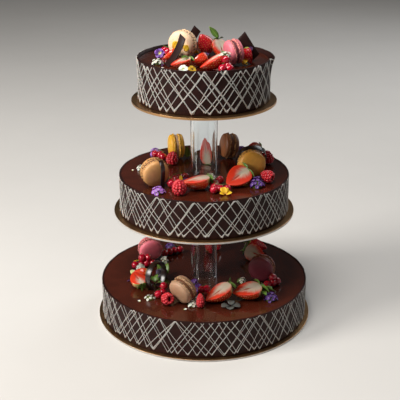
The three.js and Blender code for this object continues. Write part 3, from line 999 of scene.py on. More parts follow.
def stand_off(tier, angle, share):
    """How far a collar stands out from its foot at an angle from the front and a share of its height."""
    past = (np.degrees(angle) - 90 - SEAMS[tier.name]) % 360
    loose = LOOSE_ENDS[tier.name] * np.clip(1 - past / LOOSE_SWEEP, 0, 1) * share**LOOSE_POWER
    return loose + tier.flare * share


class CAKE_OT_collars(bpy.types.Operator):
    """Adds the thin chocolate collars round the tiers"""

    bl_idname = "cake.collars"
    bl_label = "Chocolate collars"

    def execute(self, context):
        finish = finish_of("Collar chocolate", chocolate_finish, 0.0)
        for seed, tier in enumerate(TIERS.values(), start=4):
            inner = tier.radius - COLLAR_THICKNESS
            wall = np.linspace(tier.seat, tier.rim, COLLAR_ROWS)
            outline = fillet(
                [(inner, tier.seat), (tier.radius, tier.seat), (tier.radius, tier.rim), (inner, tier.rim)],
                COLLAR_ROUND,
            )
            lip = [point for point in outline if point[1] > wall[-2]]
            base = [point for point in outline if point[1] < wall[1] and point[0] > inner]
            rows = base + [(tier.radius, level) for level in wall[1:-1]] + lip
            rows += [(inner, level) for level in wall[::-1]]
            rows.append(rows[0])
            points = revolve(rows, COLLAR_SIDES)
            share = (points[..., 2] - tier.seat) / (tier.rim - tier.seat)
            angle = np.arctan2(points[..., 0], -points[..., 1]) + math.pi / 2
            spread = 1 + stand_off(tier, angle, share) / tier.radius
            points[..., :2] *= spread[..., None]
            ragged = closed(rough(points[:, :-1] * (1, 1, 0), RIM_BUMPS, seed))
            points[..., 2] += RIM_RAGGED * ragged * share**LOOSE_POWER
            mesh = Form().sheet(points).mesh(finish)
            dress(f"collar_{tier.name}", mesh, "chocolate", f"{tier.name}_collar")
        return {"FINISHED"}


LINE_SLOPE = math.radians(56)
LINE_STEP = 0.0018
LINE_BOW = 0.02
LINE_WIDTHS = (0.8, 1.2)
TURN_REACH = 0.0034
TURN_WIDTHS = (0.6, 1.4)
# Corners of an upper turn: places across it and drops from its top, as shares of its half width
TURN_CORNERS = ((-1.0, 0.6), (-0.4, 0), (0.4, 0), (1.0, 0.6))
CORNER_JITTER = 0.07
FOOT_LEVELS = (0.0018, 0.0045)
FOOT_SWELLS = (0.6, 1.2)
HEAD_DROP = 0.006
EDGE_MARGINS = (0.0006, 0.0004)

# Zigzags round each collar, how near every second one lies to the one before, half the width of their turns
# at the rim, how far the turns pass the rim, how much wider the line gets at its upper and lower turns, and
# its own width as a share of the line width
Lattice = namedtuple("Lattice", "passes pairing turn_width overshoot head_swell foot_swell weight")
LATTICES = {
    "bottom": Lattice(7, 0.3, 0.0016, 0.004, 0.6, 0.9, 0.75),
    "middle": Lattice(7, 0.35, 0.003, 0.0026, 1.0, 1.9, 0.8),
    "top": Lattice(8, 0.5, 0.0005, 0.0016, 2.2, 1.7, 1.0),
}


def zigzag_corners(tier, number, draw):
    """Corners of one zigzag round a collar, as (x, y, swell) with y from the collar's foot."""
    lattice = LATTICES[tier.name]
    run = TAU * tier.radius
    height = tier.rim - tier.seat
    turns = round(run * math.tan(LINE_SLOPE) / (2 * height))
    stride = run / (2 * turns)
    start = 2 * stride * (number - lattice.pairing * (number % 2)) / lattice.passes
    corners = []
    for turn in range(turns):
        x = start + 2 * turn * stride + draw.gauss(0, CORNER_JITTER * stride)
        corners.append((x, draw.uniform(*FOOT_LEVELS), lattice.foot_swell * draw.uniform(*FOOT_SWELLS)))
        x += stride + draw.gauss(0, CORNER_JITTER * stride)
        level = height + lattice.overshoot - draw.uniform(0, HEAD_DROP)
        wide = lattice.turn_width * draw.uniform(*TURN_WIDTHS)
        swell = lattice.head_swell * draw.random() ** 2
        for across, drop in TURN_CORNERS:
            corners.append((x + across * wide, level - drop * wide, swell))
    corners.append((corners[0][0] + run, *corners[0][1:]))
    return corners


def zigzag(tier, number, seed):
    """Routes of one piped zigzag round a collar, as flat (x, y, z, width) rows."""
    draw = random.Random(seed)
    corners = zigzag_corners(tier, number, draw)
    line_width = settings().sizes.line_width * LATTICES[tier.name].weight
    rows = []
    for (x, y, swell), (next_x, next_y, next_swell) in zip(corners, corners[1:]):
        reach = math.hypot(next_x - x, next_y - y)
        steps = max(1, round(reach / LINE_STEP))
        bow = draw.uniform(-LINE_BOW, LINE_BOW) * reach
        width = line_width * draw.uniform(*LINE_WIDTHS)
        for share in np.linspace(0, 1, steps, endpoint=False):
            near = swell * math.exp(-((share * reach / TURN_REACH) ** 2))
            far = next_swell * math.exp(-(((1 - share) * reach / TURN_REACH) ** 2))
            place = x + share * (next_x - x) + bow * math.sin(math.pi * share)
            rows.append((place, y + share * (next_y - y), 0.0, width * (1 + max(near, far))))
    rows = np.array(rows)
    height = tier.rim - tier.seat
    rows[:, 2] = stand_off(tier, rows[:, 0] / tier.radius + math.pi / 2, rows[:, 1] / height)
    return trim(rows, EDGE_MARGINS[0], height - EDGE_MARGINS[1])


def trim(rows, low, high):
    """Parts of a route whose second value lies between two limits."""
    inside = (rows[:, 1] >= low) & (rows[:, 1] <= high)
    runs = np.split(np.arange(len(rows)), np.flatnonzero(np.diff(inside)) + 1)
    return [rows[run] for run in runs if inside[run[0]] and len(run) > 2]


class CAKE_OT_piping(bpy.types.Operator):
    """Adds the white lattice piped on the collars"""

    bl_idname = "cake.piping"
    bl_label = "Piped lattice"

    def execute(self, context):
        sizes = settings().sizes
        finish = finish_of("White piping", piping_finish)
        for level, tier in enumerate(TIERS.values()):
            routes = []
            for number in range(LATTICES[tier.name].passes):
                routes += zigzag(tier, number, 100 * level + number)
            mesh = run_tree(
                tree_of("Piping", piping_tree),
                route_mesh(routes),
                Collar_radius=tier.radius,
                Flatness=2 * sizes.line_height / sizes.line_width,
                Finish=finish,
            )
            mesh.transform(Matrix.Translation((0, 0, tier.seat)))
            dress(f"piping_{tier.name}", mesh, "piping")
        return {"FINISHED"}


class CAKE_OT_pillars(bpy.types.Operator):
    """Adds the clear tubes that carry the upper tiers"""

    bl_idname = "cake.pillars"
    bl_label = "Pillars"

    def execute(self, context):
        finish = finish_of("Clear acrylic", acrylic_finish)
        for name in ("bottom", "middle"):
            low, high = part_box(f"{name}_pillar")
            outer = high.x
            inner = outer - PILLAR_WALL
            middle = (low.z + high.z) / 2
            corners = [(outer, middle), (outer, high.z), (inner, high.z), (inner, low.z), (outer, low.z)]
            outline = fillet([*corners, (outer, middle)], PILLAR_ROUND)
            mesh = Form().sheet(revolve(outline, PILLAR_SIDES)).mesh(finish)
            dress(f"clear_pillar_{name}", mesh, "clear_acrylic", f"{name}_pillar")
        return {"FINISHED"}


# Macarons

MACARON_SIDES = 180
DOME_ROWS = 15
FOOT_ROWS = 11
DOME_POWER = 0.65
# Where the dome ends on the UV's second part, its soft edge to the foot, and the crease between them, along
# which shade is painted
DOME_SHARE = 0.6
FOOT_EDGE = (DOME_SHARE - 0.03, DOME_SHARE + 0.05)
CREASE = DOME_SHARE + 0.03
SHELL_WIDTH = 0.965
SHELL_EDGE = 0.45
SHELL_LUMPS = 0.012
SHELL_BUMPS = 60
FOOT_BELLY = 0.045
FOOT_POWER = 0.8
FRILL_STRETCH = (1, 1, 1.6)
FRILL_BUMPS = 420
FINE_FRILL = 0.6
FINE_FRILL_BUMPS = 900
FILLING_ROWS = 7
FILLING_WIDTH = 0.9
FILLING_EDGE = 0.15
FILLING_SWELL = 0.03
FILLING_BUMPS = 350

Macaron = namedtuple("Macaron", "shade x y turn lean size filling spin", defaults=(1.0, "brown", 0))
MACARONS = {
    "top_macaron_cream": Macaron("cream", -29, 10, -26, 4),
    "top_macaron_pink": Macaron("pink", 39, -30, -66, -8, 0.87, "wine"),
    "middle_macaron_tan": Macaron("tan", -67, -57, 22, -8),
    "middle_macaron_yellow": Macaron("yellow", -41, 59, -78, 0, 0.95, "cream"),
    "middle_macaron_brown": Macaron("brown", 37, 59, -72, 9, 0.97),
    "middle_macaron_mustard": Macaron("mustard", 66, -23, 8, 8),
    "bottom_macaron_pink": Macaron("rose", -82, 49, 15, -10, 0.95, "wine"),
    "bottom_macaron_beige": Macaron("beige", -29, -90, -44, -20),
    "bottom_macaron_wine": Macaron("wine", 84, -20, -20, 2, filling="wine"),
}


def macaron_shell(form, seed, side):
    """Adds one domed shell with its ruffled foot, above or below the filling, and returns its inner edge."""
    radius = MACARON_RADIUS
    half = MACARON_THICKNESS / 2
    outline = []
    for angle in np.linspace(0, math.pi / 2, DOME_ROWS):
        level = SHELL_EDGE + (1 - SHELL_EDGE) * math.cos(angle) ** DOME_POWER
        outline.append((SHELL_WIDTH * radius * math.sin(angle) ** DOME_POWER, half * level))
    for share in np.linspace(0, 1, FOOT_ROWS)[1:]:
        belly = FOOT_BELLY * math.sin(math.pi * share)
        width = SHELL_WIDTH + (FILLING_WIDTH - SHELL_WIDTH) * share**2 + belly
        outline.append((radius * width, half * (SHELL_EDGE + (FILLING_EDGE - SHELL_EDGE) * share)))
    points = revolve(outline, MACARON_SIDES)[:, :-1]
    foot = np.clip((np.arange(len(outline)) - DOME_ROWS + 1) / (FOOT_ROWS - 1), 0, 1)
    ruffle = settings().sizes.foot_ruffle * np.sin(np.pi * foot**FOOT_POWER)[:, None]
    frill = rough(points * FRILL_STRETCH, FRILL_BUMPS, seed)
    frill = frill + FINE_FRILL * rough(points, FINE_FRILL_BUMPS, seed + 3)
    stretch = 1 + SHELL_LUMPS * rough(points, SHELL_BUMPS, seed + 5) + ruffle * frill / radius
    points[..., :2] *= stretch[..., None]
    points[..., 2] *= side
    dome = np.linspace(0, DOME_SHARE, DOME_ROWS)
    along = np.concatenate([dome, DOME_SHARE + (1 - DOME_SHARE) * foot[DOME_ROWS:]])
    points = closed(points)
    form.sheet(points, row_uvs(along, MACARON_SIDES + 1))
    return points[-1]


def macaron_form(seed):
    """A macaron that lies flat: two shells, and the filling between their edges."""
    form = Form()
    upper = macaron_shell(form, 11 * seed + 1, 1)
    lower = macaron_shell(form, 11 * seed + 2, -1)
    share = np.linspace(0, 1, FILLING_ROWS)[:, None, None]
    wall = upper * (1 - share) + lower * share
    swell = FILLING_SWELL * np.sin(np.pi * share) * (1 + rough(wall, FILLING_BUMPS, seed)[..., None])
    wall[..., :2] *= 1 + swell
    form.sheet(wall, finish=1)
    return form


class CAKE_OT_macarons(bpy.types.Operator):
    """Adds the macarons"""

    bl_idname = "cake.macarons"
    bl_label = "Macarons"

    def execute(self, context):
        shades = settings().macarons
        for seed, (node, kind) in enumerate(MACARONS.items()):
            name = f"macaron_{kind.shade}"
            shell = finish_of(f"Macaron {kind.shade}", macaron_finish, getattr(shades, kind.shade))
            cream = finish_of(f"Filling {kind.filling}", filling_finish, getattr(shades, kind.filling))
            form = macaron_form(seed)
            upright = np.array(turned(90, "X").to_3x3()) * kind.size
            place = settle(form.all_points() @ upright.T, node, kind)
            place = stack(place, Matrix(upright.tolist()).to_4x4())
            dress(name, form.mesh(shell, cream, place=place), name, node)
        return {"FINISHED"}


# Strawberries

BERRY_ROWS = 34
BERRY_SIDES = 44
BERRY_LUMPS = 0.05
BERRY_BUMPS = 70
CUT_COLUMNS = 25
CUT_SWELL = 0.0005
CORE_DEPTH = 0.0011
CORE_WIDTH = 0.07
SEED_ROW_SPACING = 0.8
SEED_DENT_REACH = 0.3
SEED_SHIFTS_ROUND = (-0.12, 0.12)
SEED_SHIFTS_ALONG = (-0.01, 0.01)
SEED_SIZES = (0.85, 1.15)
SEED_SIDES = 6
SEED_HALF_WIDTH = 0.00033
SEED_HALF_LENGTH = 0.00062
SEED_POINT = 0.25
SEED_FLATNESS = 0.6
SEEDLESS_CROWN = 0.93
SKIN_STEP = 0.01
# The calyx: its height on the berry as a share of the length, and its start and sweep in degrees
CALYX_LEVEL = 0.475
WHOLE_CALYX = (0, 360)
CUT_CALYX = (-5, 190)
CALYX_SHAPE = (0.7, 1.0)
CALYX_CUP = 0.12
CALYX_RISES = (5, 40)
CALYX_BENDS = (-60, 25)
LEAF_LENGTH = 0.0125
LEAF_LENGTHS = (0.8, 1.15)
LEAF_WIDTH = 0.0062
LEAF_WIDTHS = (0.8, 1.1)
LEAF_TURNS = (-8, 8)
LEAF_ROLLS = (-15, 15)
LONG_LEAF_RISE = 30
# Name and colour of each skin, and where its pale shoulder starts and is full, from tip at 0 to crown at 1
SKINS = {
    "bright": ("Strawberry skin", "strawberry", (0.84, 0.94)),
    "pale": ("Pale strawberry skin", "strawberry", (0.76, 0.9)),
    "ripe": ("Ripe strawberry skin", "crimson", (1.0, 1.02)),
}

Strawberry = namedtuple(
    "Strawberry",
    "x y turn lean spin size whole skin leaves reach ripeness",
    defaults=(1.0, False, "bright", 7, 1.0, 0.0),
)
STRAWBERRIES = {
    "top_strawberry_whole": Strawberry(2, 34, 10, -15, 150, 0.92, True, "ripe", leaves=0),
    "top_strawberry_leafy": Strawberry(24, 10, 41, 39, 12, 0.95, leaves=4, ripeness=-0.15),
    "top_strawberry_left": Strawberry(-31, -51, -73, 75, -11, 0.85, ripeness=-0.1),
    "top_strawberry_middle": Strawberry(-7, -39, 228, 20, -85, 0.75, leaves=0),
    "top_strawberry_front": Strawberry(9, -57, -92, 61, -28, 1.08, ripeness=0.08),
    "top_strawberry_slice": Strawberry(-46, -8, -136, 29, -69, 0.7, leaves=0),
    "top_strawberry_right": Strawberry(60, -24, 120, 10, 15, 0.7, skin="ripe", leaves=0),
    "middle_strawberry_front": Strawberry(-12, -71, -111, 81, -36, 1.18, ripeness=-0.1),
    "middle_strawberry_right": Strawberry(45.5, -59, 7, 55, 53, 1.2, ripeness=0.2),
    "middle_strawberry_back": Strawberry(4, 52, 0, 10, 170),
    "middle_strawberry_back_right": Strawberry(72, 60, 20, 30, 75, 0.9),
    "bottom_strawberry_left": Strawberry(-95, -39.5, 10, 81, 163, 0.95, skin="pale", ripeness=0.25),
    "bottom_strawberry_slice": Strawberry(-90, -12, 170, 35, -80, 0.8, leaves=0),
    "bottom_strawberry_front": Strawberry(19, -86, -70, 66, -11, 1.25, ripeness=-0.1),
    "bottom_strawberry_right": Strawberry(60, -80, -24, 80, 46, 1.25, leaves=9, reach=1.45, ripeness=-0.1),
    "bottom_strawberry_back_right": Strawberry(78, 46, -10, 20, -70, ripeness=-0.2),
    "bottom_strawberry_back": Strawberry(84, 84, 160, 30, 60, 0.95, skin="ripe"),
    "bottom_strawberry_far": Strawberry(16, 90, 40, 70, 10, whole=True, skin="ripe"),
}


def berry_fullness(along):
    """Radius of a strawberry as a share of its widest, from its tip at 0 to its crown at 1."""
    past = (along - STRAWBERRY_SHOULDER) / (1 - STRAWBERRY_SHOULDER)
    below = np.sin(np.clip(along / STRAWBERRY_SHOULDER, 0, 1) * math.pi / 2) ** STRAWBERRY_BLUNTNESS
    return np.where(past < 0, below, np.sqrt(np.clip(1 - past**2, 0, 1)))


def berry_skin(along, angle, size):
    """Point of a strawberry's smooth skin."""
    radius = size * STRAWBERRY_WIDTH / 2 * berry_fullness(along)
    level = size * STRAWBERRY_LENGTH * (along - 0.5)
    return np.stack(np.broadcast_arrays(radius * np.cos(angle), radius * np.sin(angle), level), axis=-1)


def berry_seeds(size, sweep, seed):
    """Spots of the seeds in staggered rows on a strawberry's skin."""
    draw = random.Random(seed)
    spacing = settings().sizes.seed_spacing
    rows = round(STRAWBERRY_LENGTH * size / (SEED_ROW_SPACING * spacing))
    spots = []
    for row in range(1, rows):
        along = row / rows
        if along > SEEDLESS_CROWN:
            continue
        round_trip = sweep * STRAWBERRY_WIDTH / 2 * size * float(berry_fullness(along))
        number = max(2, round(round_trip / spacing))
        for place in range(number):
            angle = sweep * (place + 0.25 + 0.5 * (row % 2) + draw.uniform(*SEED_SHIFTS_ROUND)) / number
            near = along + draw.uniform(*SEED_SHIFTS_ALONG)
            here, above = (berry_skin(near + step, angle, size) for step in (0, SKIN_STEP))
            beside = berry_skin(near, angle + SKIN_STEP, size)
            up = (above - here) / np.linalg.norm(above - here)
            out = np.cross(beside - here, up)
            spots.append(Spot(here, out / np.linalg.norm(out), up, draw.uniform(*SEED_SIZES)))
    return spots


def cut_face(skin, along, size):
    """Cut face between the two sides of a halved skin: a little domed, with a shallow core."""
    share = np.linspace(0, 1, CUT_COLUMNS)[None, :, None]
    face = skin[:, :1] * (1 - share) + skin[:, -1:] * share
    inside = np.sin(np.pi * share[..., 0]) * np.sin(np.pi * along)[:, None]
    core = np.exp(-(((share[..., 0] - 0.5) / CORE_WIDTH) ** 2)) * np.sin(np.pi * along)[:, None] ** 2
    face[..., 1] -= size * (CUT_SWELL * inside - CORE_DEPTH * core)
    return face


def strawberry_form(kind, seed):
    """A strawberry with its crown up, whole or cut with its face towards -Y, and its seeds."""
    sizes = settings().sizes
    sweep = TAU if kind.whole else math.pi
    sides = BERRY_SIDES * (2 if kind.whole else 1)
    along = (1 - np.cos(np.linspace(0, math.pi, BERRY_ROWS))) / 2
    skin = berry_skin(along[:, None], np.linspace(0, sweep, sides + 1), kind.size)
    seeds = berry_seeds(kind.size, sweep, seed)
    lumps = rough(skin, BERRY_BUMPS, seed)
    if kind.whole:
        lumps[:, -1] = lumps[:, 0]
    places = np.array([spot.place for spot in seeds])
    apart = np.linalg.norm(skin[:, :, None] - places, axis=-1).min(axis=-1)
    dent = sizes.seed_dent * np.exp(-((apart / (SEED_DENT_REACH * sizes.seed_spacing)) ** 2))
    bend = 1 + BERRY_LUMPS * lumps - dent / (kind.size * STRAWBERRY_WIDTH / 2)
    skin[..., :2] *= bend[..., None]
    form = Form()
    form.sheet(skin, row_uvs(along, sides + 1))
    if not kind.whole:
        form.sheet(cut_face(skin, along, kind.size), row_uvs(along, CUT_COLUMNS), finish=1)
    return form, seeds


def calyx(form, kind, place, seed):
    """Adds the leaves on a strawberry's crown."""
    draw = random.Random(seed)
    thickness = settings().sizes.leaf_thickness
    crown = Matrix.Translation((0, 0, kind.size * STRAWBERRY_LENGTH * CALYX_LEVEL))
    start, sweep = WHOLE_CALYX if kind.whole else CUT_CALYX
    for number in range(kind.leaves):
        angle = sweep * (number + 0.5) / kind.leaves + start + draw.uniform(*LEAF_TURNS)
        long = LEAF_LENGTH * kind.size * kind.reach * draw.uniform(*LEAF_LENGTHS)
        rise = draw.uniform(*CALYX_RISES) + (LONG_LEAF_RISE if kind.reach > 1 and number % 2 else 0)
        foot = stack(place, crown, turned(angle, "Z"), turned(draw.uniform(*LEAF_ROLLS), "X"))
        size = (long, LEAF_WIDTH * kind.size * draw.uniform(*LEAF_WIDTHS))
        curve = (rise, draw.uniform(*CALYX_BENDS))
        blade(form, foot, size, curve, CALYX_SHAPE, CALYX_CUP, thickness)


def seed_mesh():
    """A small teardrop with its length along X."""
    outline = []
    for angle in np.linspace(0, math.pi, SEED_SIDES):
        width = SEED_HALF_WIDTH * math.sin(angle) * (1 - SEED_POINT * math.cos(angle))
        outline.append((width, SEED_HALF_LENGTH * math.cos(angle)))
    lying = stack(Matrix.Diagonal((1, 1, SEED_FLATNESS, 1)), turned(90, "Y"))
    return Form().sheet(revolve(outline, SEED_SIDES)).mesh(place=lying)


class CAKE_OT_strawberries(bpy.types.Operator):
    """Adds the strawberries, their seeds and their leaves"""

    bl_idname = "cake.strawberries"
    bl_label = "Strawberries"

    def execute(self, context):
        all_seeds = []
        leaves = Form()
        for seed, (node, kind) in enumerate(STRAWBERRIES.items()):
            skin_name, shade, edge = SKINS[kind.skin]
            flesh_name = f"Strawberry flesh {kind.ripeness:+.2f}"
            skin = finish_of(skin_name, strawberry_skin_finish, getattr(settings().colours, shade), edge)
            flesh = finish_of(flesh_name, strawberry_flesh_finish, kind.ripeness)
            form, seeds = strawberry_form(kind, seed + 1)
            place = settle(form.all_points(), node, kind)
            turn = place.to_3x3()
            for spot in seeds:
                facing, along = (turn @ Vector(way) for way in (spot.facing, spot.along))
                all_seeds.append(Spot(place @ Vector(spot.place), facing, along, spot.size))
            calyx(leaves, kind, place, seed)
            state = "fresh" if kind.whole else "cut"
            dress(f"{state}_{node}", form.mesh(skin, flesh, place=place), "strawberry", node)
        golden = finish_of("Seeds", seed_finish)
        dress("strawberry_seeds", scatter(all_seeds, seed_mesh(), golden), "strawberry")
        dress("strawberry_leaves", leaves.mesh(finish_of("Calyx", leaf_finish)), "greens")
        return {"FINISHED"}


# Raspberries and currants

# The grids of balls are their sides and rows
DRUPELET_GRID = (12, 8)
DRUPELET_RADIUS = 0.0021
DRUPELET_ROWS = 7
# Angles from the tip of the first row of drupelets and from there to the last row
DRUPELET_SPAN = (8, 128)
DRUPELET_SPACING = 1.75
DRUPELET_SHIFTS = (-0.06, 0.06)
DRUPELET_SIZES = (0.9, 1.12)
# How far the drupelets and the core lie inside the berry's side and end, in radii of a drupelet
DRUPELET_INSETS = (0.8, 0.6)
CORE_INSETS = (0.85, 0.7)
CORE_SWEEP = 140
CORE_ROWS = 14
CORE_SIDES = 28
HOLLOW_RADIUS = 0.0045
HOLLOW_TAPER = 0.9
HOLLOW_SHOULDER = 0.3
HOLLOW_DEPTH = 0.25
ROUTE_STEPS = 24
CURRANT_SEED = 8
CURRANT_GRID = (20, 13)
CURRANT_TIP = 0.0009
# The dry tip starts at a share of the berry's radius; its other measures are in radii of the tip
TIP_FOOT = 0.99
TIP_TAPER = 0.8
TIP_HEIGHT = 0.7
TIP_CUP = 0.5
CURRANT_SIZES = (1.0, 1.12)
# Ways that a currant's dry tip may point, along X, Y and Z
CURRANT_TIPS = ((-1, 1), (-1.2, 0.2), (-0.3, 0.5))
STALK_LEANS = (-0.5, 0.5)
# In radii of a berry: height of the stem over a berry that it shares with another stem and over the others,
# and how far a stalk's foot lies off the berry's middle and its knee off a straight line
SHARED_HEIGHT = 1.25
JOINT_HEIGHT = 1.35
STALK_FOOT = 0.96
STALK_KNEE = 0.5
STALK_TAPER = (0.7, 0.7, 0.8)

Raspberry = namedtuple("Raspberry", "x y turn lean spin size breadth squeeze", defaults=(0, 1.0, 1.0, 1.0))
RASPBERRIES = {
    "middle_raspberry_front": Raspberry(-33, -91, -20, -15, size=1.12),
    "middle_raspberry_right": Raspberry(87, -45, 60, 80),
    "middle_raspberry_far": Raspberry(92, 32, 30, 20),
    "middle_raspberry_left": Raspberry(-46, 30, -30, 15),
    "bottom_raspberry_left": Raspberry(-51, -96, -147, 72, -180, squeeze=0.4),
    "bottom_raspberry_front": Raspberry(-5, -103, 5, 12, breadth=0.65),
}

CURRANTS = {
    "top_currants_left": [[(-55, 34, 0), (-50, 26.5, 0)]],
    "top_currants_right": [
        [(33, -72, 0), (24, -73, 0)],
        [(24, -73, 0), (30, -68, 1.5), (28, -66, 10)],
    ],
    "middle_currants_back": [[(-72, 63, 0), (-64, 58.5, 0), (-60, 50.5, 0)]],
    "middle_currants_left": [[(-44, -63, 0), (-42, -50, 0), (-36, -41, 0), (-26, -35, 0)]],
    "middle_currants_front": [
        [(22.5, -47.5, 0), (19, -55, 0), (11.5, -60.5, 0)],
        [(11.5, -60.5, 0), (16, -68.5, 0), (14, -77.5, 0), (13, -86.5, 0)],
        [(14, -77.5, 0), (22, -82, 0), (31, -82, 0)],
    ],
    "bottom_currants_back": [
        [(-103, 20, 0), (-95, 24.5, 0), (-86, 26, 0), (-77, 27, 0)],
        [(-95, 24.5, 0), (-93, 27, 8.5)],
        [(-86, 26, 0), (-83.5, 28, 8.5)],
    ],
    "bottom_currants_left": [[(-64, -76, 0), (-58, -69.5, 0), (-56.5, -66.5, 8.6)]],
    "bottom_currants_front": [[(5, -77, 0), (4, -72, 6.6), (-3.5, -69, 4)]],
    "bottom_currants_right": [
        [(91, -45, 0), (99, -41, 0), (105.5, -34.5, 0)],
        [(99, -41, 0), (98.5, -39.5, 8.8)],
    ],
    "bottom_currants_far": [[(-60, 62, 0), (-53, 68, 0), (-45.5, 73.5, 0), (-37, 77, 0)]],
}


def ball_mesh(radius, grid, tip=0.0):
    """A ball with an optional dry tip on its +Z end."""
    sides, rows = grid
    outline = []
    for angle in np.linspace(math.pi, 0, rows):
        outline.append((radius * math.sin(angle), radius * math.cos(angle)))
    if tip:
        rim = (TIP_TAPER * tip, radius + TIP_HEIGHT * tip)
        outline[-1:] = [(tip, TIP_FOOT * radius), rim, (0, radius + TIP_CUP * tip)]
    return Form().sheet(revolve(outline, sides)).mesh()


def raspberry_outline(polar, insets):
    """Radius and height of a raspberry at an angle from its tip, drawn in from its side and end."""
    side, end = insets
    taper = 1 - RASPBERRY_TAPER * math.cos(polar)
    radius = (RASPBERRY_WIDTH / 2 * taper - side * DRUPELET_RADIUS) * math.sin(polar)
    return radius, (RASPBERRY_LENGTH / 2 - end * DRUPELET_RADIUS) * math.cos(polar)


def drupelet_spots(seed):
    """Spots of a raspberry's drupelets, from its tip at +Z to its open end."""
    draw = random.Random(seed)
    spots = []
    for row in range(DRUPELET_ROWS):
        polar = math.radians(DRUPELET_SPAN[0] + DRUPELET_SPAN[1] * row / (DRUPELET_ROWS - 1))
        radius, height = raspberry_outline(polar, DRUPELET_INSETS)
        number = max(3, round(TAU * radius / (DRUPELET_SPACING * DRUPELET_RADIUS)))
        for place in range(number):
            angle = TAU * (place + 0.5 * (row % 2)) / number + draw.uniform(*DRUPELET_SHIFTS)
            x, y = math.cos(angle), math.sin(angle)
            out = Vector((x * math.sin(polar), y * math.sin(polar), math.cos(polar)))
            size = draw.uniform(*DRUPELET_SIZES)
            spots.append(Spot(Vector((radius * x, radius * y, height)), out, Vector((-y, x, 0)), size))
    return spots


def raspberry_core(finish, squeeze):
    """Inner wall of a raspberry, with a hollow in its lower end that may be squeezed to a slit."""
    polars = np.radians(np.linspace(0, CORE_SWEEP, CORE_ROWS))
    outline = [raspberry_outline(polar, CORE_INSETS) for polar in polars]
    rim = outline[-1]
    hollow = [
        rim,
        (HOLLOW_RADIUS, rim[1]),
        (HOLLOW_TAPER * HOLLOW_RADIUS, HOLLOW_SHOULDER * rim[1]),
        (0, HOLLOW_DEPTH * RASPBERRY_LENGTH),
    ]
    form = Form()
    form.sheet(revolve(outline, CORE_SIDES))
    inside = revolve(hollow, CORE_SIDES)
    inside[1:, :, 0] *= squeeze
    form.sheet(inside[:2])
    # The hollow's inner wall takes the finish painted near-black as its shade
    form.sheet(inside[1:], finish=1)
    return form.mesh(finish, finish_of("Raspberry hollow", hollow_shade_finish))


class CAKE_OT_raspberries(bpy.types.Operator):
    """Adds the raspberries"""

    bl_idname = "cake.raspberries"
    bl_label = "Raspberries"

    def execute(self, context):
        finish = finish_of("Raspberry", raspberry_finish)
        for seed, (node, kind) in enumerate(RASPBERRIES.items()):
            spots = drupelet_spots(seed)
            scale = kind.size * np.array((kind.breadth, 1, 1))
            reach = np.array([spot.place + DRUPELET_RADIUS * spot.facing for spot in spots]) * scale
            place = settle(reach, node, kind)
            berry = raspberry_core(finish, kind.squeeze)
            joined = bmesh.new()
            joined.from_mesh(berry)
            joined.from_mesh(scatter(spots, ball_mesh(DRUPELET_RADIUS, DRUPELET_GRID), finish))
            joined.to_mesh(berry)
            joined.free()
            berry.shade_smooth()
            berry.transform(stack(place, Matrix.Diagonal((*scale, 1))))
            dress(f"fresh_{node}", berry, "raspberry", node)
        return {"FINISHED"}


def smooth_route(corners, step):
    """Evenly spaced points on a smooth curve through corners."""
    corners = np.array(corners, float) * MM
    padded = np.concatenate([[2 * corners[0] - corners[1]], corners, [2 * corners[-1] - corners[-2]]])
    fine = []
    for before, here, there, after in zip(padded, padded[1:], padded[2:], padded[3:]):
        for share in np.linspace(0, 1, ROUTE_STEPS, endpoint=False):
            leave, enter = (there - before) / 2, (after - here) / 2
            fine.append(
                (2 * share**3 - 3 * share**2 + 1) * here
                + (share**3 - 2 * share**2 + share) * leave
                + (3 * share**2 - 2 * share**3) * there
                + (share**3 - share**2) * enter
            )
    fine = np.array(fine + [corners[-1]])
    lengths = np.concatenate([[0], np.cumsum(np.linalg.norm(np.diff(fine, axis=0), axis=1))])
    marks = np.linspace(0, lengths[-1], math.ceil(lengths[-1] / step) + 1)
    return np.stack([np.interp(marks, lengths, fine[:, axis]) for axis in range(3)], axis=-1)


def currant_sprig(routes, level, draw):
    """Spots of one sprig's berries, and its stem and stalks as routes with their widths."""
    width = settings().sizes.stalk_width
    spots = []
    stalks = []
    for corners in routes:
        stem = []
        for point in smooth_route(corners, CURRANT_SPACING):
            place = Vector(point) + level
            lean = Vector((draw.uniform(*STALK_LEANS), draw.uniform(*STALK_LEANS), 1))
            if any((place - spot.place).length < CURRANT_RADIUS for spot in spots):
                stem.append((*(place + Vector((0, 0, SHARED_HEIGHT * CURRANT_RADIUS))), width))
                continue
            tip = Vector([draw.uniform(*limits) for limits in CURRANT_TIPS]).normalized()
            spots.append(Spot(place, tip, tip.orthogonal(), draw.uniform(*CURRANT_SIZES)))
            joint = place + JOINT_HEIGHT * CURRANT_RADIUS * lean.normalized()
            stem.append((*joint, width))
            foot = place - STALK_FOOT * CURRANT_RADIUS * tip
            knee = (foot + joint) / 2 - STALK_KNEE * CURRANT_RADIUS * tip
            bends = zip((foot, knee, joint), STALK_TAPER)
            stalks.append(np.array([(*bend, share * width) for bend, share in bends]))
        if len(stem) > 1:
            stalks.append(np.array(stem))
    return spots, stalks


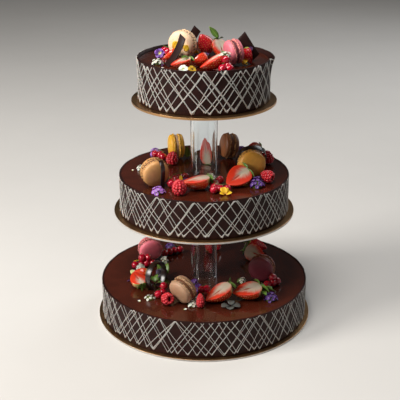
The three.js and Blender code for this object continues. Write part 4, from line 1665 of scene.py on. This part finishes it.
class CAKE_OT_currants(bpy.types.Operator):
    """Adds the sprigs of red currants"""

    bl_idname = "cake.currants"
    bl_label = "Red currants"

    def execute(self, context):
        finish = finish_of("Currant", currant_finish)
        draw = random.Random(CURRANT_SEED)
        all_stalks = []
        for node, routes in CURRANTS.items():
            tier = TIERS[node.split("_")[0]]
            level = Vector((0, 0, tier.glaze + GAP + CURRANT_RADIUS))
            spots, stalks = currant_sprig(routes, level, draw)
            all_stalks += stalks
            ball = ball_mesh(CURRANT_RADIUS, CURRANT_GRID, CURRANT_TIP)
            dress(f"fresh_{node}", scatter(spots, ball, finish), "currant", node)
        green = finish_of("Stalks", stalk_finish)
        mesh = run_tree(tree_of("Stalks", stalk_tree), route_mesh(all_stalks), Finish=green)
        dress("currant_stalks", mesh, "greens")
        return {"FINISHED"}


# Chocolate curls and plaques

CURL_STEPS = 56
CURL_EDGE_STEPS = 6
CURL_END_STEPS = 3
CURL_RAGGED = 0.0004
CURL_BUMPS = 90

Curl = namedtuple(
    "Curl", "radius sweep width x y turn lean spin tail skew shine", defaults=(0, 0, 0, 0.0, 1.0)
)
CURLS = {
    "top_curl_left": Curl(62, 46, 12, -38, -25, turn=50, spin=135, skew=0.5, shine=0.1),
    "top_plaque_right": Curl(110, 19, 13, 60, -8, turn=84, lean=34, spin=-90, skew=0.25, shine=0.2),
    "top_plaque_back": Curl(110, 18, 12, -18, 48, turn=88, lean=-32, spin=-90, skew=-0.2, shine=0.2),
    "middle_curl_left": Curl(12, 100, 6, -57, -69, turn=-68, spin=50, tail=26),
    "middle_curl_right": Curl(22, 280, 8, 67, 13, turn=8, lean=-30),
    "bottom_curl_left": Curl(21, 296, 9, -69, -40, turn=58),
}


def curl_outline(kind):
    """Middle line of a band in the XZ plane, from its tail's end, with its outward normals."""
    radius = kind.radius * MM - CURL_THICKNESS / 2
    half = math.radians(kind.sweep) / 2
    start = math.pi / 2 - half
    angles = np.linspace(start, math.pi / 2 + half, CURL_STEPS)
    out = np.stack([np.cos(angles), np.sin(angles)], axis=-1)
    line = radius * out
    if kind.tail:
        ahead = np.array([math.sin(start), -math.cos(start)]) * kind.tail * MM
        run = np.linspace(1, 0, CURL_STEPS // 2, endpoint=False)[:, None]
        line = np.concatenate([line[0] + run * ahead, line])
        out = np.concatenate([np.repeat(out[:1], CURL_STEPS // 2, axis=0), out])
    return line, out


def curl_form(kind, seed):
    """A thin chocolate band with soft edges, its width along Y."""
    line, out = curl_outline(kind)
    half_width = kind.width * MM / 2
    round_off = CURL_THICKNESS / 2
    bend = np.linspace(-math.pi / 2, math.pi / 2, CURL_EDGE_STEPS)
    edge = [(half_width - round_off + round_off * math.cos(a), round_off * math.sin(a)) for a in bend]
    ring = np.array(edge + [(-across, -off) for across, off in edge] + edge[:1])
    lean = np.gradient(line, axis=0)
    lean /= np.linalg.norm(lean, axis=1, keepdims=True)
    steps = np.arange(len(line))
    taper = np.clip(np.minimum(steps, steps[::-1]) / CURL_END_STEPS, 0, 1) ** 0.5
    off = ring[None, :, 1:] * taper[:, None, None]
    flat = line[:, None] + out[:, None] * off + lean[:, None] * kind.skew * ring[None, :, :1]
    across = np.repeat(ring[None, :, 0], len(line), axis=0)
    points = np.stack([flat[..., 0], across, flat[..., 1]], axis=-1)
    points[:, :-1, 1] += CURL_RAGGED * rough(points[:, :-1], CURL_BUMPS, seed)
    points[:, -1] = points[:, 0]
    tips = [np.broadcast_to(points[end, :-1].mean(axis=0), points[:1].shape) for end in (0, -1)]
    points = np.concatenate([tips[0], points, tips[1]])
    bounds = np.concatenate([line + round_off * out, line - round_off * out])
    middle = (bounds.min(axis=0) + bounds.max(axis=0)) / 2
    points -= np.array([middle[0], 0, middle[1]])
    return Form().sheet(points)


class CAKE_OT_curls(bpy.types.Operator):
    """Adds the chocolate curls and plaques"""

    bl_idname = "cake.curls"
    bl_label = "Chocolate curls"

    def execute(self, context):
        for seed, (node, kind) in enumerate(CURLS.items()):
            finish = finish_of(f"Curl chocolate {kind.shine:.1f}", chocolate_finish, kind.shine)
            form = curl_form(kind, seed)
            place = settle(form.all_points(), node, kind)
            dress(f"bent_{node}", form.mesh(finish, place=place), "chocolate", node)
        return {"FINISHED"}


# Flowers, leaves and crumbs

Bloom = namedtuple("Bloom", "tier x y radius height florets lift", defaults=(0,))
LILAC_BLOOMS = [
    Bloom("middle", -61, -84, 9.5, 9, 17),
    Bloom("middle", -72, 77, 8, 10, 14),
]
VIOLET_BLOOMS = [
    Bloom("middle", 72, -62, 9.5, 14, 18),
    Bloom("middle", 56, 88, 9, 9, 14),
    Bloom("bottom", 93, -81, 10.5, 10, 17),
    Bloom("bottom", -14, -42, 8, 12, 13),
    Bloom("bottom", -8, -53, 6, 9, 8),
    Bloom("bottom", -53, 92, 8, 9, 12),
]
WHITE_BLOOMS = [
    Bloom("top", -62, -25, 7.5, 8, 15),
    Bloom("top", 27, -58, 9, 8, 18, lift=17),
    Bloom("middle", 10, -33, 7, 10, 14),
    Bloom("middle", -91, 8, 5, 7, 9),
    Bloom("bottom", -94, 10.5, 7, 12, 40),
    Bloom("bottom", -60, 42, 6, 9, 11),
    Bloom("bottom", -76, -79, 8, 5, 10),
    Bloom("bottom", -16, -101, 6.5, 8, 15),
    Bloom("bottom", 56, -30, 6.5, 9, 12),
]

# Kinds of florets: their blooms, how many petals each floret has, its radius and the rise of its petals
Florets = namedtuple("Florets", "blooms petals radius rise")
FLORETS = {
    "lilac": Florets(LILAC_BLOOMS, 5, 0.0034, 25),
    "violet": Florets(VIOLET_BLOOMS, 5, 0.0034, 30),
    "white": Florets(WHITE_BLOOMS, 4, 0.0022, 20),
}

# Foot of a loose petal or leaf, the way that it points, its roll about its own length, its bend and its size
Petal = namedtuple("Petal", "tier x y height turn rise roll bend long wide")
LOOSE_PETALS = {
    "yellow": [
        Petal("top", -42, 2.2, 14, -26, 50, 90, 10, 15, 12),
        Petal("top", -40, 1.2, 20, -26, 10, 90, 10, 13, 9),
        Petal("top", -26.5, -5.2, 13, -26, 55, 90, 10, 11, 9),
        Petal("top", -11, 17, 0.5, 70, 60, 0, 60, 10, 8),
        Petal("middle", -31, -56, 0.5, 100, 80, 0, -20, 14, 5),
        Petal("top", 52, -34, 0.8, 70, 50, 0, -35, 11, 8),
        Petal("top", 57, -33, 0.8, 130, 35, 0, -55, 9, 7),
        Petal("bottom", -106, 22, 10.6, 10, 0, 0, 15, 9, 4),
        Petal("middle", 28, -92, 0.5, 105, 60, 0, -20, 11, 12),
        Petal("middle", 29.5, -93, 0.5, 30, 36, 10, -35, 9, 9),
        Petal("middle", 27, -93, 0.5, 160, 34, -10, -30, 7, 8),
    ],
    "plum": [
        Petal("top", -5, 8, 1, 160, 40, 0, -30, 11, 9),
        Petal("top", 1, 6, 1, 60, 50, 0, -30, 10, 9),
        Petal("top", 64, -16, 16, 120, 50, 0, -50, 9, 7),
        Petal("middle", -25, -58, 0.5, 80, 72, 0, -45, 12, 11),
        Petal("middle", -52, 36, 8, 40, 30, 0, -30, 10, 7),
        Petal("bottom", -112, -25, 0.6, 30, 10, 0, -10, 5, 4),
    ],
    "white": [
        Petal("top", -17, -74, 0.6, 60, 30, 0, -25, 7, 6),
        Petal("top", -57, -51, 0.5, 20, 8, 0, -8, 5, 4),
        Petal("middle", -102, 3, 0.5, 70, 8, 0, -8, 4, 3),
        Petal("bottom", -89, -89, 0.5, 120, 8, 0, -8, 5, 4),
        Petal("bottom", -28, -112, 0.5, 10, 8, 0, -8, 5, 4),
    ],
    # Pale petals lying in shade, painted grey
    "grey": [
        Petal("bottom", 36, -103, 1.5, 195, 18, 0, -35, 13, 12),
        Petal("bottom", 37, -103, 1.5, 350, 16, 0, -35, 14, 13),
        Petal("bottom", 36, -105, 1.5, 268, 14, 0, -30, 9, 11),
        Petal("bottom", 37, -102, 1.5, 80, 45, 0, -40, 9, 10),
    ],
    "lime": [
        Petal("bottom", -106, -4, 0.6, 75, 55, 0, -40, 9, 8),
    ],
}
LEAVES = [
    Petal("top", 20, 19, 26, 172, 48, -62, 12, 21, 8.5),
    Petal("top", 19, 20, 25, 130, 66, -40, -20, 10, 5),
    Petal("top", -19, -47, 13, 205, 30, 0, -55, 13, 6),
    Petal("top", -19, -46, 13, 175, 35, 0, -50, 12, 5),
    Petal("top", -18, -48, 12, 240, 20, 0, -50, 11, 5),
    Petal("middle", -25, 60, 0.6, 85, 78, 0, 10, 18, 10),
    Petal("middle", -20, 66, 0.6, 60, 60, 0, -30, 15, 8),
    Petal("middle", 6, -62, 1, 30, 40, 0, -30, 13, 6),
    Petal("top", -58, -31, 0.6, 300, 30, 0, -20, 11, 5),
    Petal("top", -55, -27, 0.6, 340, 35, 0, -20, 10, 5),
    Petal("bottom", -57, -6, 0.6, 70, 76, 0, -40, 20, 10),
    Petal("bottom", -63, -4, 0.6, 120, 70, 0, -50, 18, 9),
    Petal("bottom", -60, -12, 0.6, 85, 66, 0, -50, 17, 9),
    Petal("bottom", -74, -26, 0.6, 110, 50, 0, -50, 12, 6),
    Petal("bottom", -68, -24, 0.6, 40, 45, 0, -50, 12, 6),
    Petal("bottom", -72, -30, 0.6, 60, 68, 0, -50, 15, 7),
    Petal("bottom", -70, -35, 0.6, 330, 58, 0, -60, 14, 7),
    Petal("bottom", 80, -70, 8, 330, 60, 0, -80, 22, 9),
    Petal("bottom", 80, -74, 8, 290, 40, 0, -60, 20, 9),
    Petal("bottom", 81, -72, 8, 15, 45, 0, -60, 18, 8),
    Petal("bottom", 48, -30, 0.6, 40, 40, 0, -30, 12, 5),
]

# Open flowers: place, the way that they look, their tilt from lying flat, radius and kind of petal
Flower = namedtuple("Flower", "tier x y height turn tilt radius petals")
FLOWERS = {
    "primula": Flower("top", -60, 10, 6.5, -10, 55, 7.6, "Primula"),
    "white_viola": Flower("top", -26.5, -69, 3.6, -25, 48, 7.4, "White viola"),
    "yellow_viola": Flower("top", -15.5, -70, 3.4, 25, 50, 6.2, "Yellow viola"),
    "plum_viola": Flower("bottom", -62, -17, 9, -20, 55, 9, "Plum viola"),
}
# Shapes of the blades: where they are widest and how round their ends are
FLORET_SHAPE = (1.5, 0.55)
PETAL_SHAPE = (1.4, 0.5)
VIOLA_SHAPE = (1.3, 0.6)
LEAF_SHAPE = (0.8, 0.9)
FLORET_GRID = (6, 3)
FLORET_BREADTH = 1.15
FLORET_BEND = -0.7
FLORET_CUP = 0.08
FLORET_SIZES = (0.8, 1.15)
# How far florets lie inside their dome's side and top, in radii of a floret
FLORET_INSETS = (0.5, 0.4)
FLORET_SHIFTS = (-0.2, 0.2)
FLORET_STAND_OFFS = (0.86, 1.12)
BLOOM_DEPTH = 0.9
FIRST_FLORET = 0.4
BLOOM_TILT = 0.35
HEART_SHARE = 0.72
HEART_ROWS = 7
HEART_SIDES = 18
HEART_LUMPS = 0.15
HEART_BUMPS = 300
LOOSE_CUP = 0.14
VIOLA_PETALS = 5
VIOLA_GRID = (9, 7)
VIOLA_START = 18
VIOLA_TURNS = (-9, 9)
VIOLA_ROLLS = (-14, 14)
VIOLA_LENGTHS = (0.85, 1.05)
VIOLA_WIDTHS = (0.8, 1.0)
VIOLA_RISES = (15, 40)
VIOLA_BENDS = (-60, -25)
VIOLA_CUPS = (0.06, 0.16)
PETAL_LAYER = 0.0003
CRUMB_SEED = 21
CRUMB_GRID = (6, 5)
CRUMB_SPOTS = 46
CRUMB_RADIUS = 0.0007
CRUMB_RING = (0.45, 0.9)
CRUMB_SIZES = (0.5, 1.2)
CRUMB_HEIGHT = 0.4


def bloom_spots(kind, seed):
    """Spots of one kind of floret over the low domes of its blooms."""
    draw = random.Random(seed)
    spots = []
    for bloom in kind.blooms:
        base = over_glaze(bloom, bloom.lift)
        wide = bloom.radius * MM - FLORET_INSETS[0] * kind.radius
        high = bloom.height * MM - FLORET_INSETS[1] * kind.radius
        for number in range(bloom.florets):
            level = 1 - BLOOM_DEPTH * (number + FIRST_FLORET) / bloom.florets
            flat = math.sqrt(1 - level * level)
            angle = number * GOLDEN_ANGLE + draw.uniform(*FLORET_SHIFTS)
            x, y = flat * math.cos(angle), flat * math.sin(angle)
            place = Vector((wide * x, wide * y, high * level)) * draw.uniform(*FLORET_STAND_OFFS)
            out = Vector((x, y, BLOOM_TILT + level)).normalized()
            spin = Matrix.Rotation(draw.uniform(0, TAU), 3, out) @ out.orthogonal()
            spots.append(Spot(base + place, out, spin, draw.uniform(*FLORET_SIZES)))
    return spots


def floret_mesh(kind):
    """A small flower facing +Z."""
    form = Form()
    thickness = settings().sizes.petal_thickness
    size = (kind.radius, FLORET_BREADTH * kind.radius)
    curve = (kind.rise, FLORET_BEND * kind.rise)
    for number in range(kind.petals):
        place = turned(360 * number / kind.petals, "Z")
        blade(form, place, size, curve, FLORET_SHAPE, FLORET_CUP, thickness, FLORET_GRID)
    return form.mesh()


def bloom_hearts(blooms):
    """A lumpy green cushion under each group of florets."""
    form = Form()
    arc = np.linspace(0, math.pi / 2, HEART_ROWS)
    for number, bloom in enumerate(blooms):
        wide, high = HEART_SHARE * bloom.radius * MM, HEART_SHARE * bloom.height * MM
        outline = [(wide * math.sin(a), high * math.cos(a)) for a in arc] + [(0, 0)]
        points = revolve(outline, HEART_SIDES)[:, :-1]
        points[:-1] *= 1 + HEART_LUMPS * rough(points[:-1], HEART_BUMPS, number)[..., None]
        form.sheet(closed(points), place=Matrix.Translation(over_glaze(bloom, bloom.lift)))
    return form


def loose_blades(rows, shape, thickness):
    """Loose petals or leaves, each on its foot."""
    form = Form()
    for row in rows:
        foot = Matrix.Translation(over_glaze(row, row.height))
        place = stack(foot, turned(row.turn, "Z"), turned(-row.rise, "Y"), turned(row.roll, "X"))
        blade(form, place, (row.long * MM, row.wide * MM), (0, row.bend), shape, LOOSE_CUP, thickness)
    return form


def open_flower(place, radius, seed):
    """Five broad, uneven petals that overlap, facing +Z."""
    draw = random.Random(seed)
    form = Form()
    thickness = settings().sizes.petal_thickness
    for number in range(VIOLA_PETALS):
        angle = 360 / VIOLA_PETALS * number + VIOLA_START + draw.uniform(*VIOLA_TURNS)
        foot = stack(place, turned(angle, "Z"), turned(draw.uniform(*VIOLA_ROLLS), "X"))
        foot = stack(foot, Matrix.Translation((0, 0, PETAL_LAYER * number)))
        size = (radius * draw.uniform(*VIOLA_LENGTHS), radius * draw.uniform(*VIOLA_WIDTHS))
        curve = (draw.uniform(*VIOLA_RISES), draw.uniform(*VIOLA_BENDS))
        blade(form, foot, size, curve, VIOLA_SHAPE, draw.uniform(*VIOLA_CUPS), thickness, VIOLA_GRID)
    return form


class CAKE_OT_flowers(bpy.types.Operator):
    """Adds the edible flowers and loose petals"""

    bl_idname = "cake.flowers"
    bl_label = "Edible flowers"

    def execute(self, context):
        for seed, (name, kind) in enumerate(FLORETS.items(), start=1):
            florets = scatter(bloom_spots(kind, seed), floret_mesh(kind), petals_of(name.capitalize()))
            dress(f"{name}_florets", florets, "petals")
        hearts = bloom_hearts([bloom for kind in FLORETS.values() for bloom in kind.blooms])
        dress("flower_hearts", hearts.mesh(finish_of("Flower hearts", stalk_finish)), "greens")
        for name, rows in LOOSE_PETALS.items():
            form = loose_blades(rows, PETAL_SHAPE, settings().sizes.petal_thickness)
            dress(f"{name}_petals", form.mesh(petals_of(name.capitalize())), "petals")
        for seed, (name, flower) in enumerate(FLOWERS.items()):
            foot = Matrix.Translation(over_glaze(flower, flower.height))
            place = stack(foot, turned(flower.turn, "Z"), turned(flower.tilt, "X"))
            form = open_flower(place, flower.radius * MM, seed)
            dress(f"{name}_petals", form.mesh(petals_of(flower.petals)), "petals")
        return {"FINISHED"}


class CAKE_OT_leaves(bpy.types.Operator):
    """Adds the loose green leaves"""

    bl_idname = "cake.leaves"
    bl_label = "Leaves"

    def execute(self, context):
        form = loose_blades(LEAVES, LEAF_SHAPE, settings().sizes.leaf_thickness)
        dress("loose_leaves", form.mesh(finish_of("Leaf", leaf_finish)), "greens")
        return {"FINISHED"}


class CAKE_OT_crumbs(bpy.types.Operator):
    """Adds a few crumbs round the toppings"""

    bl_idname = "cake.crumbs"
    bl_label = "Crumbs"

    def execute(self, context):
        draw = random.Random(CRUMB_SEED)
        tiers = list(TIERS.values())
        spots = []
        for number in range(CRUMB_SPOTS):
            tier = tiers[number % len(tiers)]
            radius = tier.radius * draw.uniform(*CRUMB_RING)
            angle = draw.uniform(0, TAU)
            level = tier.glaze + CRUMB_HEIGHT * CRUMB_RADIUS
            place = Vector((radius * math.cos(angle), radius * math.sin(angle), level))
            facing = Vector((draw.uniform(-1, 1), draw.uniform(-1, 1), 1)).normalized()
            spots.append(Spot(place, facing, facing.orthogonal(), draw.uniform(*CRUMB_SIZES)))
        finish = finish_of("Crumbs", crumb_finish)
        dress("crumbs", scatter(spots, ball_mesh(CRUMB_RADIUS, CRUMB_GRID), finish), "chocolate")
        return {"FINISHED"}


# Stage

CAMERA_PLACE = (0.0, -1.262, 0.6694)
CAMERA_PITCH = 21.437
CAMERA_LENS = 85.0
CAMERA_SENSOR = 36.0
CAMERA_SHIFT = -0.01
FLOOR_SIZE = 60.0
WORLD_STRENGTH = 0.04
LAMP_AIM = (0, 0, 0.2)

Lamp = namedtuple("Lamp", "name place size power tint")
LAMPS = [
    Lamp("key_light", (-1.85, -0.8, 1.4), 0.9, 60, (1.0, 0.97, 0.92)),
    Lamp("top_light", (-0.4, -0.65, 2.4), 0.8, 44, (1.0, 0.98, 0.95)),
    Lamp("fill_light", (1.7, -1.4, 0.9), 1.6, 2, (0.86, 0.93, 1.0)),
    Lamp("back_light", (1.3, 1.5, 1.5), 1.2, 14, (0.92, 0.96, 1.0)),
]


def add_floor(scene):
    """Adds the studio floor."""
    half = FLOOR_SIZE / 2
    corners = [(-half, -half, 0), (half, -half, 0), (half, half, 0), (-half, half, 0)]
    mesh = bpy.data.meshes.new("floor")
    mesh.from_pydata(corners, [], [(0, 1, 2, 3)])
    mesh.materials.append(finish_of("Floor", floor_finish))
    floor = bpy.data.objects.new("floor", mesh)
    scene.collection.objects.link(floor)


def add_lamps(scene):
    """Adds the lamps, all aimed at one place, and a dim white world."""
    for lamp in LAMPS:
        light = bpy.data.lights.new(lamp.name, "AREA")
        light.size = lamp.size
        light.energy = lamp.power
        light.color = lamp.tint
        stand = bpy.data.objects.new(lamp.name, light)
        stand.location = lamp.place
        aim = Vector(LAMP_AIM) - Vector(lamp.place)
        stand.rotation_euler = aim.to_track_quat("-Z", "Y").to_euler()
        scene.collection.objects.link(stand)
    world = bpy.data.worlds.new("studio")
    world.use_nodes = True
    backdrop = world.node_tree.nodes["Background"]
    backdrop.inputs["Color"].default_value = (1.0, 1.0, 1.0, 1.0)
    backdrop.inputs["Strength"].default_value = WORLD_STRENGTH
    scene.world = world


def add_camera(scene):
    """Adds a camera fitted to the photo."""
    lens = bpy.data.cameras.new("camera")
    lens.lens = CAMERA_LENS
    lens.sensor_width = CAMERA_SENSOR
    lens.shift_x = CAMERA_SHIFT
    camera = bpy.data.objects.new("camera", lens)
    camera.location = CAMERA_PLACE
    camera.rotation_euler = (math.radians(90 - CAMERA_PITCH), 0, 0)
    scene.collection.objects.link(camera)
    scene.camera = camera


class CAKE_OT_stage(bpy.types.Operator):
    """Adds the floor, lights and camera"""

    bl_idname = "cake.stage"
    bl_label = "Stage"

    def execute(self, context):
        add_floor(context.scene)
        add_lamps(context.scene)
        add_camera(context.scene)
        context.scene.view_settings.view_transform = "Standard"
        return {"FINISHED"}


MAKERS = (
    CAKE_OT_stage,
    CAKE_OT_boards,
    CAKE_OT_tiers,
    CAKE_OT_collars,
    CAKE_OT_piping,
    CAKE_OT_pillars,
    CAKE_OT_macarons,
    CAKE_OT_strawberries,
    CAKE_OT_raspberries,
    CAKE_OT_currants,
    CAKE_OT_curls,
    CAKE_OT_flowers,
    CAKE_OT_leaves,
    CAKE_OT_crumbs,
)


class CAKE_PT_sidebar(bpy.types.Panel):
    """Lists the cake's pieces and settings"""

    bl_idname = "CAKE_PT_sidebar"
    bl_label = "Chocolate Wedding Cake"
    bl_space_type = "VIEW_3D"
    bl_region_type = "UI"
    bl_category = "Cake"

    def draw(self, context):
        for maker in MAKERS:
            self.layout.operator(maker.bl_idname)
        cake = context.scene.wedding_cake
        for group in (cake.sizes, cake.colours, cake.macarons):
            box = self.layout.box()
            for field in group.__annotations__:
                box.prop(group, field)


CLASSES = (CakeSizes, CakeColours, MacaronColours, CakeSettings, *MAKERS, CAKE_PT_sidebar)


def register():
    """Registers the classes and the scene's settings."""
    for each in CLASSES:
        bpy.utils.register_class(each)
    bpy.types.Scene.wedding_cake = PointerProperty(type=CakeSettings)


def unregister():
    """Removes the settings and the classes."""
    del bpy.types.Scene.wedding_cake
    for each in reversed(CLASSES):
        bpy.utils.unregister_class(each)


def main():
    """Makes every piece."""
    register()
    for maker in MAKERS:
        group, action = maker.bl_idname.split(".")
        getattr(getattr(bpy.ops, group), action)()


if __name__ == "__main__":
    main()
